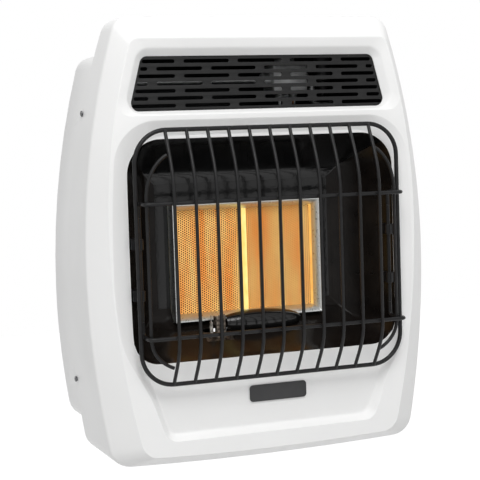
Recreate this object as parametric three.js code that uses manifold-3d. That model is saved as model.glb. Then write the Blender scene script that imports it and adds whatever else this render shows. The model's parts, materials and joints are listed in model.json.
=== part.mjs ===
// Wall mounted gas heater: a vent-free, two-plaque infrared room heater.
//
// Millimetres, +Z up, +X to the viewer's right, -Y towards the room.
// The origin is the middle of the wall bracket's back face, on the wall, so the
// wall is the plane y = 0 and every part of the heater has a negative y.
//
// The heater is a white pressed front panel on a shallow white cabinet.  Behind
// the panel's window sits a black enamelled firebox with two glowing ceramic
// plaques in a bright frame, and a bowed wire guard stands in front of it.  Gas
// comes in at the bottom left, through a regulator and up to a valve with its
// knob on top of the cabinet, where the push-button igniter also is.

import * as THREE from 'three';
import { mergeVertices } from 'three/addons/utils/BufferGeometryUtils.js';
import Module from 'manifold-3d';

const wasm = await Module();
wasm.setup();

// ---------------------------------------------------------------- dimensions

// clearances
const FIT = 0.3;                 // between pieces that touch
const SHEET = 1.0;               // steel sheet of panel, cabinet and firebox
const RUN = 0.5;                 // radial clearance of a sliding stem
const FACE_BEYOND = 6;           // cutters reach this far past the sheet

// front panel, outer outline (at the back of the bevel)
const PANEL_TOP = 93;
const PANEL_TALL = 504;
const PANEL_BOTTOM = PANEL_TOP - PANEL_TALL;
const PANEL_HALF = 210;          // half width at the waist
const PANEL_WAIST = -188;
const PANEL_ARC_UP = 900;        // radius of the bulging side above the waist
const PANEL_ARC_DOWN = 1090;
const PANEL_CORNER_TOP = 20;
const PANEL_CORNER_BOTTOM = 25;
const PANEL_SAG = 4;             // the bottom edge bows down this much
const PANEL_EDGE_Y = -170.5;     // back of the bevel
const PANEL_FACE_Y = -194.5;     // the face
const FLANGE_BACK_TOP = -128;    // the side flange is deeper at the bottom
const FLANGE_BACK_BOTTOM = -62;

// crest, where the outer bevel meets the face
const CREST_TOP = 68;
const CREST_FOOT = 12.5;         // above the panel's bottom
const CREST_BOTTOM = PANEL_BOTTOM + CREST_FOOT;
const CREST_HALF = 188;
const CREST_WAIST = -145;
const CREST_ARC_UP = 715;
const CREST_ARC_DOWN = 1030;
const CREST_CORNER_TOP = 13;
const CREST_CORNER_BOTTOM = 20;

// the dish round the fire opening, down to the ledge at the foot
const DISH_TOP = -23;
const DISH_LIFT = 28;            // foot of the dish above the panel's bottom
const DISH_BOTTOM = PANEL_BOTTOM + DISH_LIFT;
const DISH_HALF = 184.5;
const DISH_WAIST = -190;
const DISH_ARC_UP = 1500;
const DISH_ARC_DOWN = 500;
const DISH_PINCH_FROM = -262;    // below here its sides swing in to a narrower foot
const DISH_PINCH_TO = -345;
const DISH_PINCH = 18;
const DISH_PINCH_FLOOR = 5;
const DISH_CORNER_TOP = 50;
const DISH_CORNER_BOTTOM = 17;
const DISH_DEPTH = 8;
const DISH_SLOPE_TOP = 17;
const DISH_SLOPE_SIDE = 20;
const DISH_FOOT_ROUND = 14;      // corner radius of its floor at the foot
const LEDGE = 10;

// fire opening
const FIRE_TOP = -43.5;
const FIRE_BOTTOM = -295;
const FIRE_HALF = 163.5;
const FIRE_CORNER_TOP = 40;
const FIRE_CORNER_BOTTOM = 31;
const FIRE_RIM = 5;              // depth of the turned-in rim

// louver window and its two-step recess
const LOUVER_TOP = 48;
const LOUVER_BOTTOM = -12.5;
const LOUVER_HALF_TOP = 141.5;
const LOUVER_HALF_BOTTOM = 157.5;
const LOUVER_CORNER = 9;
const LOUVER_WALL = 8.5;         // width of the steep wall
const LOUVER_LIP = 2.5;          // depth of the sloped lip
const LOUVER_DEPTH = 9.2;        // depth of the whole recess
const LOUVER_FOOT = 3;           // the recess is short below the window
const CREST_LAND = 1.5;          // flat left along the crest

// louver plate and its slots
const SLOT_ROWS = 7;
const SLOT_LENGTH = 54;
const SLOT_HEIGHT = 4.1;
const SLOT_PITCH = 64.5;
const ROW_PITCH = 8.2;
const LOUVER_SHEET = 1.2;
const LOUVER_LAP = 6;            // plate hidden behind the window's edge

// cabinet
const CAB_TOP = 58;
const CAB_LIFT = 31;             // its bottom above the panel's
const CAB_BOTTOM = PANEL_BOTTOM + CAB_LIFT;
const CAB_SET_IN = 5;            // its side is this far inside the panel's
const CAB_WAIST = -220;
const CAB_ARC_UP = 983;
const CAB_ARC_DOWN = 940;
const CAB_CORNER_TOP = 22;
const CAB_CORNER_BOTTOM = 24;
const CAB_BACK_Y = -9;
const CAB_FRONT_Y = -150;
const CAB_LIP = 9;               // lip turned in at the back
const VENT_PITCH = 16;
const VENT_WIDTH = 6;
const VENT_LENGTH = 60;
const AIR_PITCH = 26;
const AIR_FOOT = 80;             // lower end of the air slots above the cabinet's bottom
const AIR_TALL = 50;
const cabHalf = PANEL_HALF - CAB_SET_IN;

// wall bracket and spacers
const BRACKET_WIDTH = 300;
const BRACKET_HEIGHT = 56;
const BRACKET_SHEET = 1.8;
const BRACKET_HOLE_SPACING = 254;
const BRACKET_HOLE_R = 3;
const HOOK_SPACING = 220;
const HOOK_WIDTH = 16;
const HOOK_SLOT_GAP = 0.8;
const SPACER_R = 9;
const SPACER_X = 140;
const SPACER_LIFT = 50;          // above the cabinet's bottom
const spacerZ = CAB_BOTTOM + SPACER_LIFT;
const HOOK_TOP = 24;
const HOOK_SLOT_TALL = 22;
const SPACER_STUD_R = 3;

// wire guard
const WIRE_COUNT = 11;
const WIRE_PITCH = 24.8;
const WIRE_R = 2;
const RIM_R = 2.5;
const BAR_R = 2.25;
const GUARD_Y = -231;            // the upright wires' middle run
const RIM_Y = -205.5;
const RIM_HALF = 160;
const RIM_TOP = -33.5;
const RIM_BOTTOM = -315.6;
const RIM_CORNER = 37;
const BAR_TOP = -113.6;
const BAR_BOTTOM = -261;
const BAR_REACH = 157;
const HOOP_CLEAR = 10;           // the hoop's upright runs keep this far inside the opening
const HOOP_Y = -193.5;
const SIDE_HALF = 150.9;          // the extra bent wire at each side
const SIDE_Y = -215;
const WIRE_SIDES = 8;
const BOW_TOP = 76;              // height of the upper bow
const BOW_FOOT = 54;
const CLIP_FROM_BAR = 45;
const HOOP_TAIL = 16;

const hoopHalf = FIRE_HALF - HOOP_CLEAR;

// firebox: offsets from the fire opening, from its rim to its back
const BOX_RIM_LAP = 9;
const BOX_DEPTH = 69.4;
const BOX_INSET = 53;            // the back is this much smaller all round
const BOX_STEPS = [              // the curved wall, as shares of depth and inset
  [0, 0], [0.17, 0.075], [0.375, 0.21], [0.6, 0.385], [0.79, 0.565], [0.92, 0.72], [0.98, 0.85],
];

// burner
const FRAME_HALF = 94;
const FRAME_TOP = -120;
const FRAME_BOTTOM = -258;
const FRAME_PROUD = 17;          // the frame stands this far out of the firebox back
const FRAME_STEP = 8;            // height of its straight inner wall
const FRAME_BORDER = 8;
const FRAME_EDGE = 1.4;
const FRAME_BAR = 2.5;
const PLAQUE_WIDTH = 92;
const PLAQUE_HEIGHT = 132;
const PLAQUE_DEPTH = 13;
const PLAQUE_CHAMFER = 0.8;
const BURNER_WALL = 2;
const BURNER_HALF = 97;
const BURNER_DEPTH = 45;
const BURNER_SEAT = 6;

// mixing tube and injector
const MIX_X = 165;
const MIX_R = 13;
const MIX_Z = -220;
const MIX_Y = -88;
const MIX_PORTS = 4;
const INJECTOR_R = 6;
const INJECTOR_LONG = 15;
const TUBE_TURN = 10;            // the burner tube turns up this far past it
const TUBE_RISE = 130;           // and leans in this far above it
const TUBE_DIP = 15;             // it passes this far below the valve
const IGNITER_LONG = 46;
const IGNITER_PASS = 28;         // and this far outside the igniter

// controls on top of the cabinet
const CONTROL_Y = -88;
const VALVE_X = 72;
const IGNITER_X = 122;
const DECK_WIDTH = 120;
const DECK_DEPTH = 62;
const DECK_SHEET = 1.5;
const KNOB_R = 21;
const KNOB_HEIGHT = 21;
const KNOB_TOP_R = 18.5;
const KNOB_GRIPS = 18;
const KNOB_SKIRT = 4;
const STEM_R = 3;
const COLLAR_R = 8.5;
const VALVE_PRESS = 4;
const VALVE_HALF = 22;
const VALVE_DEEP = 34;
const VALVE_TALL = 34;
const PORT_IN = 31;              // its two ports reach this far from its middle
const PORT_OUT = 30;
const BUTTON_R = 7.5;
const BUTTON_STEM_R = 3;
const BUTTON_PRESS = 6;
const PRESS_CLEAR = 1.5;         // air left under a pressed knob or button

// gas train
const REGULATOR_X = -150;
const REGULATOR_LIFT = 75;       // its middle above the cabinet's bottom
const REGULATOR_HALF = 24;       // half its height
const REGULATOR_Z = CAB_BOTTOM + REGULATOR_LIFT;
const REGULATOR_Y = -80;
const INLET_R = 8.6;
const INLET_BORE_R = 5.5;
const TUBE_R = 4;
const PILOT_TUBE_R = 2.2;
const COUPLE_R = 1.4;
const LEAD_R = 1.8;
const RUN_X = 160;
const RUN_Y = -48;
const RUN_STEP = 6;

// pilot group, in front of the frame's lower left
const PILOT_X = -46;
const PILOT_AHEAD = 8.5;         // in front of the frame's face
const PILOT_GAP = 8;
const PILOT_R = 3.4;
const PILOT_RISE = 6;            // its tip above the frame's foot

// heat baffle above the firebox
const BAFFLE_HALF = 136;
const BAFFLE_RISE = 8;           // above the top of the fire opening
const BAFFLE_FRONT_Y = -176;

// dome pressed over the burner foot
const DOME_X = 9;
const DOME_HALF = 55;
const DOME_DEEP = 15;
const DOME_TALL = 13.5;
const DOME_DROP = 4;             // its middle is this far below the frame's foot

// screws at the side flanges
const SCREW_R = 3.4;
const SCREW_STEM_R = 1.9;
const SCREW_EDGE = 6.5;          // from the flange's rear edge
const SCREW_TOP = 105;           // below the panel's top
const SCREW_FOOT = 90;           // above the panel's bottom

// ----------------------------------------------------------------- materials

const white = () => new THREE.MeshStandardMaterial({ color: 0xf0f0ee, roughness: 0.42, metalness: 0.0 });
const black = () => new THREE.MeshStandardMaterial({ color: 0x1a1a1b, roughness: 0.3, metalness: 0.1 });
const wire = () => new THREE.MeshStandardMaterial({ color: 0x2c2c2e, roughness: 0.35, metalness: 0.3 });
const bright = () => new THREE.MeshStandardMaterial({ color: 0xb9bcbb, roughness: 0.35, metalness: 0.9 });
const steel = () => new THREE.MeshStandardMaterial({ color: 0x8e9193, roughness: 0.45, metalness: 0.8 });
const brass = () => new THREE.MeshStandardMaterial({ color: 0xb79a55, roughness: 0.4, metalness: 0.9 });
const alloy = () => new THREE.MeshStandardMaterial({ color: 0xc4c6c8, roughness: 0.5, metalness: 0.7 });
const plastic = () => new THREE.MeshStandardMaterial({ color: 0x202022, roughness: 0.55, metalness: 0.0 });
const ceramic = () => new THREE.MeshStandardMaterial({ color: 0xd2965a, roughness: 0.9, metalness: 0.0 });
const copper = () => new THREE.MeshStandardMaterial({ color: 0xb36b45, roughness: 0.45, metalness: 0.9 });
const porcelain = () => new THREE.MeshStandardMaterial({ color: 0xeeeae2, roughness: 0.5, metalness: 0.0 });

// --------------------------------------------------------------- solid tools

// a closed three.js geometry as a solid that can be joined and cut
function solid(geometry) {
  let g = geometry.index ? geometry.clone() : geometry.clone();
  g.deleteAttribute('normal');
  g.deleteAttribute('uv');
  g = mergeVertices(g, 1e-4);
  const body = new wasm.Mesh({
    numProp: 3,
    vertProperties: new Float32Array(g.attributes.position.array),
    triVerts: new Uint32Array(g.index.array),
  });
  return new wasm.Manifold(body);
}

// a solid back as a geometry
function geometryOf(body) {
  const m = body.getMesh();
  const g = new THREE.BufferGeometry();
  const points = new Float32Array((m.vertProperties.length / m.numProp) * 3);
  for (let i = 0; i < points.length / 3; i += 1) {
    for (let k = 0; k < 3; k += 1) points[i * 3 + k] = m.vertProperties[i * m.numProp + k];
  }
  g.setAttribute('position', new THREE.BufferAttribute(points, 3));
  g.setIndex(new THREE.BufferAttribute(new Uint32Array(m.triVerts), 1));
  g.computeVertexNormals();
  return g;
}

const heater = new THREE.Group();
heater.name = 'wall_mounted_gas_heater';

function place(name, body, material) {
  const mesh = new THREE.Mesh(geometryOf(body), material);
  mesh.name = name;
  heater.add(mesh);
  return mesh;
}

function box(x0, x1, y0, y1, z0, z1) {
  const g = new THREE.BoxGeometry(x1 - x0, y1 - y0, z1 - z0);
  g.translate((x0 + x1) / 2, (y0 + y1) / 2, (z0 + z1) / 2);
  return solid(g);
}

// a turned body about a line through (x, y, z): profile points are [radius, along]
function turned(profile, axis, x, y, z, sides) {
  const g = new THREE.LatheGeometry(profile.map(([r, a]) => new THREE.Vector2(r, a)), sides);
  if (axis === 'z') g.rotateX(Math.PI / 2);
  if (axis === 'x') g.rotateZ(-Math.PI / 2);
  g.translate(x, y, z);
  const body = solid(g);
  return body.volume() < 0 ? solid(flipped(g)) : body;
}

function flipped(g) {
  const copy = mergeVertices(bare(g), 1e-4);
  const index = copy.index.array;
  for (let i = 0; i < index.length; i += 3) [index[i], index[i + 1]] = [index[i + 1], index[i]];
  return copy;
}

function bare(g) {
  const copy = g.clone();
  copy.deleteAttribute('normal');
  copy.deleteAttribute('uv');
  return copy;
}

function rod(axis, x, y, z, from, to, r, sides) {
  return turned([[0, from], [r, from], [r, to], [0, to]], axis, x, y, z, sides);
}

// rings of equal point counts skinned into one closed body
function loft(rings, closed) {
  const n = rings[0].length;
  const points = [];
  const index = [];
  rings.forEach((ring) => ring.forEach((p) => points.push(p.x, p.y, p.z)));
  const spans = closed ? rings.length : rings.length - 1;
  for (let k = 0; k < spans; k += 1) {
    const a = k * n;
    const b = ((k + 1) % rings.length) * n;
    for (let i = 0; i < n; i += 1) {
      const j = (i + 1) % n;
      index.push(a + i, a + j, b + j, a + i, b + j, b + i);
    }
  }
  if (!closed) {
    [0, rings.length - 1].forEach((k) => {
      const centre = rings[k].reduce((sum, p) => sum.add(p), v3(0, 0, 0)).divideScalar(n);
      const c = points.length / 3;
      points.push(centre.x, centre.y, centre.z);
      for (let i = 0; i < n; i += 1) {
        const j = (i + 1) % n;
        if (k === 0) index.push(c, j, i);
        else index.push(c, k * n + i, k * n + j);
      }
    });
  }
  const g = new THREE.BufferGeometry();
  g.setAttribute('position', new THREE.BufferAttribute(new Float32Array(points), 3));
  g.setIndex(index);
  const body = solid(g);
  return body.volume() < 0 ? solid(flipped(g)) : body;
}

// a path through fixed points, each with its own direction: steps fall where
// the wire bends and a straight run takes one
class WirePath extends THREE.Curve {
  constructor(points, headings) {
    super();
    this.points = points;
    this.headings = headings;
  }

  getPoint(t, target = new THREE.Vector3()) {
    const at = t * (this.points.length - 1);
    const i = Math.min(Math.floor(at + 1e-9), this.points.length - 2);
    return target.copy(this.points[i]).lerp(this.points[i + 1], at - i);
  }

  getPointAt(u, target) {
    return this.getPoint(u, target);
  }

  getTangentAt(u, target = new THREE.Vector3()) {
    return target.copy(this.headings[Math.round(u * (this.points.length - 1))]);
  }
}

// curves joined end to end, with a number of steps in each that isn't straight
function bends(curves, steps) {
  const points = [curves[0].getPoint(0)];
  const headings = [curves[0].getTangent(0)];
  curves.forEach((curve) => {
    const n = curve.isLineCurve3 ? 1 : steps;
    for (let i = 1; i <= n; i += 1) {
      points.push(curve.getPoint(i / n));
      headings.push(curve.getTangent(i / n));
    }
  });
  return new WirePath(points, headings);
}

// straight runs joined by rounded bends, through the given points
function route(points, bend, steps) {
  const curves = [];
  let from = points[0].clone();
  for (let i = 1; i < points.length - 1; i += 1) {
    const p = points[i];
    const back = points[i - 1].clone().sub(p);
    const on = points[i + 1].clone().sub(p);
    const cut = Math.min(bend, back.length() / 2.1, on.length() / 2.1);
    const a = p.clone().add(back.normalize().multiplyScalar(cut));
    const b = p.clone().add(on.normalize().multiplyScalar(cut));
    curves.push(new THREE.LineCurve3(from, a));
    curves.push(new THREE.QuadraticBezierCurve3(a, p.clone(), b));
    from = b;
  }
  curves.push(new THREE.LineCurve3(from, points[points.length - 1].clone()));
  return bends(curves, steps);
}

// a round wire or tube along a path
function along(path, r, sides) {
  const section = new THREE.Shape();
  for (let i = 0; i < sides; i += 1) {
    const a = ((i + 0.5) / sides) * 2 * Math.PI;
    if (i === 0) section.moveTo(r * Math.cos(a), r * Math.sin(a));
    else section.lineTo(r * Math.cos(a), r * Math.sin(a));
  }
  const steps = path.points.length - 1;
  const g = new THREE.ExtrudeGeometry(section, { steps, bevelEnabled: false, extrudePath: path });
  const body = solid(g);
  return body.volume() < 0 ? solid(flipped(g)) : body;
}

const v3 = (x, y, z) => new THREE.Vector3(x, y, z);

// ------------------------------------------------------------------ outlines

const STRAIGHT = 1e6;            // radius of a side that doesn't bulge

const drop = (d, r) => (d <= 0 ? 0 : r - Math.sqrt(Math.max(r * r - d * d, 0)));

// half width of a bulging side at height z
function sideAt(o, z) {
  const lean = o.lean ? o.lean * (z - o.waist) : 0;
  let pinch = 0;
  if (o.pinch) {
    const u = Math.min(1, Math.max(0, (o.pinch.from - z) / (o.pinch.from - o.pinch.to)));
    pinch = o.pinch.by * u * u * (3 - 2 * u);
  }
  return o.half + lean - pinch - drop(z - o.waist, o.up) - drop(o.waist - z, o.down);
}

// where a corner of radius r sits between the side and a level edge
function corner(o, edge, r, sign) {
  let z = edge - sign * r;
  let slope = 0;
  for (let i = 0; i < 8; i += 1) {
    slope = (sideAt(o, z + 0.05) - sideAt(o, z - 0.05)) / 0.1;
    z = edge - sign * r - (r * slope) / Math.hypot(1, slope);
  }
  const tilt = Math.atan2(-slope, 1);
  return { z, x: sideAt(o, z) - r * Math.cos(tilt), cz: edge - sign * r, tilt, r, sign };
}

// closed outline of (x, z) points: level top, bulging sides, bowed bottom
function outline(o) {
  const top = corner(o, o.top, o.cornerTop, 1);
  const bottom = corner(o, o.bottom, o.cornerBottom, -1);
  const right = [];
  const EDGE = o.sag ? 3 : 1;
  const ROUND = 5;
  const SIDE = o.steps || 7;
  for (let i = 0; i < EDGE; i += 1) right.push([(top.x * i) / EDGE, o.top]);
  for (let i = 0; i <= ROUND; i += 1) {
    const a = Math.PI / 2 + ((top.tilt - Math.PI / 2) * i) / ROUND;
    right.push([top.x + top.r * Math.cos(a), top.cz + top.r * Math.sin(a)]);
  }
  for (let i = 1; i < SIDE; i += 1) {
    const z = top.z + ((o.waist - top.z) * i) / SIDE;
    right.push([sideAt(o, z), z]);
  }
  for (let i = 0; i < SIDE; i += 1) {
    const z = o.waist + ((bottom.z - o.waist) * i) / SIDE;
    right.push([sideAt(o, z), z]);
  }
  for (let i = 0; i <= ROUND; i += 1) {
    const a = bottom.tilt + ((-Math.PI / 2 - bottom.tilt) * i) / ROUND;
    right.push([bottom.x + bottom.r * Math.cos(a), bottom.cz + bottom.r * Math.sin(a)]);
  }
  for (let i = 1; i < EDGE; i += 1) right.push([bottom.x * (1 - i / EDGE), o.bottom]);
  right.push([0, o.bottom]);
  const left = right.slice(1, -1).reverse().map(([x, z]) => [-x, z]);
  const ring = right.concat(left);
  if (!o.sag) return ring;
  const reach = o.half * 0.85;
  return ring.map(([x, z]) => {
    const near = Math.max(0, 1 - (z - o.bottom) / 80);
    return [x, z - o.sag * near * (1 - Math.min(1, (x / reach) ** 2))];
  });
}

// the same outline drawn in (or out) by its own amount at each side
function inset(o, top, side, foot) {
  const lower = foot === undefined ? top : foot;
  return {
    ...o,
    top: o.top - top,
    bottom: o.bottom + lower,
    half: o.half - side,
    cornerTop: Math.max(2, o.cornerTop - Math.min(top, side)),
    cornerBottom: Math.max(2, o.cornerBottom - Math.min(lower, side)),
  };
}

const ringAt = (o, y) => outline(o).map(([x, z]) => v3(x, y, z));

const PANEL = {
  top: PANEL_TOP,
  bottom: PANEL_BOTTOM,
  half: PANEL_HALF,
  waist: PANEL_WAIST,
  up: PANEL_ARC_UP,
  down: PANEL_ARC_DOWN,
  cornerTop: PANEL_CORNER_TOP,
  cornerBottom: PANEL_CORNER_BOTTOM,
  sag: PANEL_SAG,
};
const CREST = {
  top: CREST_TOP,
  bottom: CREST_BOTTOM,
  half: CREST_HALF,
  waist: CREST_WAIST,
  up: CREST_ARC_UP,
  down: CREST_ARC_DOWN,
  cornerTop: CREST_CORNER_TOP,
  cornerBottom: CREST_CORNER_BOTTOM,
  sag: PANEL_SAG,
};
const DISH = {
  top: DISH_TOP,
  bottom: DISH_BOTTOM,
  half: DISH_HALF,
  waist: DISH_WAIST,
  up: DISH_ARC_UP,
  down: DISH_ARC_DOWN,
  cornerTop: DISH_CORNER_TOP,
  cornerBottom: DISH_CORNER_BOTTOM,
  pinch: { from: DISH_PINCH_FROM, to: DISH_PINCH_TO, by: DISH_PINCH },
  steps: 10,
};
const FIRE = {
  top: FIRE_TOP,
  bottom: FIRE_BOTTOM,
  half: FIRE_HALF,
  waist: (FIRE_TOP + FIRE_BOTTOM) / 2,
  up: STRAIGHT,
  down: STRAIGHT,
  cornerTop: FIRE_CORNER_TOP,
  cornerBottom: FIRE_CORNER_BOTTOM,
  steps: 1,
};
const LOUVER_SPAN = LOUVER_TOP - LOUVER_BOTTOM;
const LOUVER = {
  top: LOUVER_TOP,
  bottom: LOUVER_BOTTOM,
  half: (LOUVER_HALF_TOP + LOUVER_HALF_BOTTOM) / 2,
  waist: (LOUVER_TOP + LOUVER_BOTTOM) / 2,
  lean: -(LOUVER_HALF_BOTTOM - LOUVER_HALF_TOP) / LOUVER_SPAN,
  up: STRAIGHT,
  down: STRAIGHT,
  cornerTop: LOUVER_CORNER,
  cornerBottom: LOUVER_CORNER,
  steps: 3,
};
const CABINET = {
  top: CAB_TOP,
  bottom: CAB_BOTTOM,
  half: cabHalf,
  waist: CAB_WAIST,
  up: CAB_ARC_UP,
  down: CAB_ARC_DOWN,
  cornerTop: CAB_CORNER_TOP,
  cornerBottom: CAB_CORNER_BOTTOM,
};

// --------------------------------------------------------------- front panel

const flangeSlope = (FLANGE_BACK_BOTTOM - FLANGE_BACK_TOP) / (PANEL_TOP - PANEL_BOTTOM);
const flangeBack = (z) => FLANGE_BACK_TOP + flangeSlope * (PANEL_TOP - z);

function flangeRing(o, beyond) {
  return outline(o).map(([x, z]) => v3(x, flangeBack(z) + beyond, z));
}

// outer skin: flange, bevel, face
function panelSkin(t) {
  const rear = inset(PANEL, t, t);
  const crest = inset(CREST, t * 0.6, t * 0.6);
  return loft([
    flangeRing(rear, t > 0 ? FACE_BEYOND : 0),
    ringAt(rear, PANEL_EDGE_Y + t * 0.4),
    ringAt(crest, PANEL_FACE_Y + t),
  ], false);
}

// the dish, as the space that it takes out of the face, grown by t
function dishSpace(t) {
  const rim = inset(DISH, -t, -t);
  const floor = {
    ...inset(DISH, DISH_SLOPE_TOP, DISH_SLOPE_SIDE, LEDGE),
    cornerTop: DISH_CORNER_TOP - DISH_SLOPE_TOP / 3,
    cornerBottom: DISH_FOOT_ROUND,
    pinch: { ...DISH.pinch, by: DISH_PINCH_FLOOR },
  };
  const grown = inset(floor, -t, -t);
  const out = inset(rim, -t, -t);
  return loft([
    ringAt(out, PANEL_FACE_Y - FACE_BEYOND),
    ringAt(rim, PANEL_FACE_Y + (t > 0 ? t : 0)),
    ringAt(grown, PANEL_FACE_Y + DISH_DEPTH + t),
  ], false);
}

// the louver recess: a sloped lip that follows the crest, then a steep wall
function louverSpace(t) {
  const wall = inset(LOUVER, -LOUVER_WALL, -LOUVER_WALL, -LOUVER_FOOT);
  const lip = {
    ...inset(CREST, CREST_LAND, CREST_LAND),
    bottom: LOUVER_BOTTOM - LOUVER_FOOT - 2,
    cornerBottom: 14,
    waist: LOUVER_BOTTOM + LOUVER_SPAN / 2,
    sag: 0,
    steps: LOUVER.steps,
  };
  lip.half = sideAt(inset(CREST, CREST_LAND, CREST_LAND), lip.waist);
  lip.lean = (sideAt(CREST, lip.waist + 1) - sideAt(CREST, lip.waist - 1)) / 2;
  lip.up = CREST_ARC_UP;
  lip.down = STRAIGHT;
  return loft([
    ringAt(inset(lip, -t, -t), PANEL_FACE_Y - FACE_BEYOND),
    ringAt(inset(lip, -t, -t), PANEL_FACE_Y + (t > 0 ? t : 0)),
    ringAt(inset(wall, -t, -t), PANEL_FACE_Y + LOUVER_LIP + t),
    ringAt(inset(LOUVER, -t, -t), PANEL_FACE_Y + LOUVER_DEPTH + (t > 0 ? t : 0)),
  ], false);
}

// firebox rim, close behind the dish floor
const BOX_RIM_Y = PANEL_FACE_Y + DISH_DEPTH + SHEET + FIT;
const BOX_BACK_Y = BOX_RIM_Y + BOX_DEPTH;
const plaqueFront = BOX_BACK_Y + SHEET + FIT;
const frameSeatY = plaqueFront - FIT;
const frameFrontY = BOX_BACK_Y - FRAME_PROUD;
const frameStepY = frameSeatY - FRAME_STEP;

const prism = (o, y0, y1) => loft([ringAt(o, y1), ringAt(o, y0)], false);

const fireHole = prism(FIRE, PANEL_FACE_Y - FACE_BEYOND, BOX_RIM_Y + 2 * FACE_BEYOND);
const louverHole = prism(LOUVER, PANEL_FACE_Y - FACE_BEYOND, PANEL_FACE_Y + 2 * LOUVER_DEPTH);
const screwLevels = [
  { name: 'upper', z: PANEL_TOP - SCREW_TOP },
  { name: 'lower', z: PANEL_BOTTOM + SCREW_FOOT },
];
const screwSpots = [-1, 1].flatMap((side) => screwLevels.map((s) => (
  { ...s, side, y: flangeBack(s.z) - SCREW_EDGE }
)));
const sideName = (side) => (side < 0 ? 'left' : 'right');

function screwHole(s, r) {
  const x = s.side * sideAt(PANEL, s.z);
  return rod('x', 0, s.y, s.z, Math.min(x - s.side * 12, x + s.side * 6), Math.max(x - s.side * 12, x + s.side * 6), r, 16);
}

let panel = panelSkin(0).subtract(dishSpace(0)).subtract(louverSpace(0));
const panelInside = panelSkin(SHEET).subtract(dishSpace(SHEET)).subtract(louverSpace(SHEET));
panel = panel.subtract(panelInside).subtract(fireHole).subtract(louverHole);
screwSpots.forEach((s) => {
  panel = panel.subtract(screwHole(s, SCREW_STEM_R + FIT));
});
place('front_panel', panel, white());

// -------------------------------------------------------------- louver plate

const louverY = PANEL_FACE_Y + LOUVER_DEPTH + SHEET + FIT;
let louverPlate = prism(inset(LOUVER, -LOUVER_LAP, -LOUVER_LAP), louverY, louverY + LOUVER_SHEET);

// one rounded slot, cut square through the plate
function slot(x0, x1, z) {
  const r = SLOT_HEIGHT / 2;
  const shape = new THREE.Shape();
  const TURN = 4;
  for (let i = 0; i <= TURN; i += 1) {
    const a = -Math.PI / 2 + (Math.PI * i) / TURN;
    if (i === 0) shape.moveTo(x1 - r + r * Math.cos(a), z + r * Math.sin(a));
    else shape.lineTo(x1 - r + r * Math.cos(a), z + r * Math.sin(a));
  }
  for (let i = 0; i <= TURN; i += 1) {
    const a = Math.PI / 2 + (Math.PI * i) / TURN;
    shape.lineTo(x0 + r + r * Math.cos(a), z + r * Math.sin(a));
  }
  const g = new THREE.ExtrudeGeometry(shape, { depth: LOUVER_SHEET * 4, bevelEnabled: false });
  g.rotateX(Math.PI / 2);
  g.translate(0, louverY + LOUVER_SHEET * 2.5, 0);
  return solid(g);
}

const slotGap = SLOT_PITCH - SLOT_LENGTH;
for (let row = 0; row < SLOT_ROWS; row += 1) {
  const z = LOUVER.waist + (row - (SLOT_ROWS - 1) / 2) * -ROW_PITCH;
  const edge = sideAt(LOUVER, z) - slotGap / 4;
  const shift = row % 2 === 0 ? 0 : SLOT_PITCH / 2;
  for (let k = -4; k <= 4; k += 1) {
    const x0 = Math.max(-edge, shift + k * SLOT_PITCH - SLOT_LENGTH / 2);
    const x1 = Math.min(edge, shift + k * SLOT_PITCH + SLOT_LENGTH / 2);
    if (x1 - x0 > SLOT_HEIGHT * 1.6) louverPlate = louverPlate.subtract(slot(x0, x1, z));
  }
}
place('louver_grille', louverPlate, black());

// ------------------------------------------------------------------- cabinet

const cabInner = inset(CABINET, SHEET, SHEET);
const lipInner = inset(CABINET, CAB_LIP, CAB_LIP);
let cabinet = prism(CABINET, CAB_FRONT_Y, CAB_BACK_Y)
  .subtract(prism(cabInner, CAB_FRONT_Y - FACE_BEYOND, CAB_BACK_Y - SHEET))
  .subtract(prism(lipInner, CAB_BACK_Y - 2 * SHEET, CAB_BACK_Y + FACE_BEYOND));

// holes for the controls, the gas inlet, the screws and the top vent slots
const deckZ = CAB_TOP + FIT;
const deckTop = deckZ + DECK_SHEET;
const VALVE_HOLE_R = COLLAR_R + 2.5;
const IGNITER_HOLE_R = BUTTON_R + 1.5;
cabinet = cabinet
  .subtract(rod('z', VALVE_X, CONTROL_Y, CAB_TOP, -5, 5, VALVE_HOLE_R, 24))
  .subtract(rod('z', IGNITER_X, CONTROL_Y, CAB_TOP, -5, 5, IGNITER_HOLE_R, 24))
  .subtract(rod('z', REGULATOR_X, REGULATOR_Y, CAB_BOTTOM, -5, 5, INLET_R + FIT, 24));
screwSpots.forEach((s) => {
  cabinet = cabinet.subtract(screwHole(s, SCREW_STEM_R + FIT));
});
const VENTS = 9;
for (let i = 0; i < VENTS; i += 1) {
  const x = -120 + i * VENT_PITCH;
  cabinet = cabinet.subtract(box(
    x - VENT_WIDTH / 2, x + VENT_WIDTH / 2,
    CONTROL_Y - VENT_LENGTH / 2, CONTROL_Y + VENT_LENGTH / 2,
    CAB_TOP - 5, CAB_TOP + 5,
  ));
}
place('cabinet_shell', cabinet, white());

// ---------------------------------------------------------------- back panel

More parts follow.
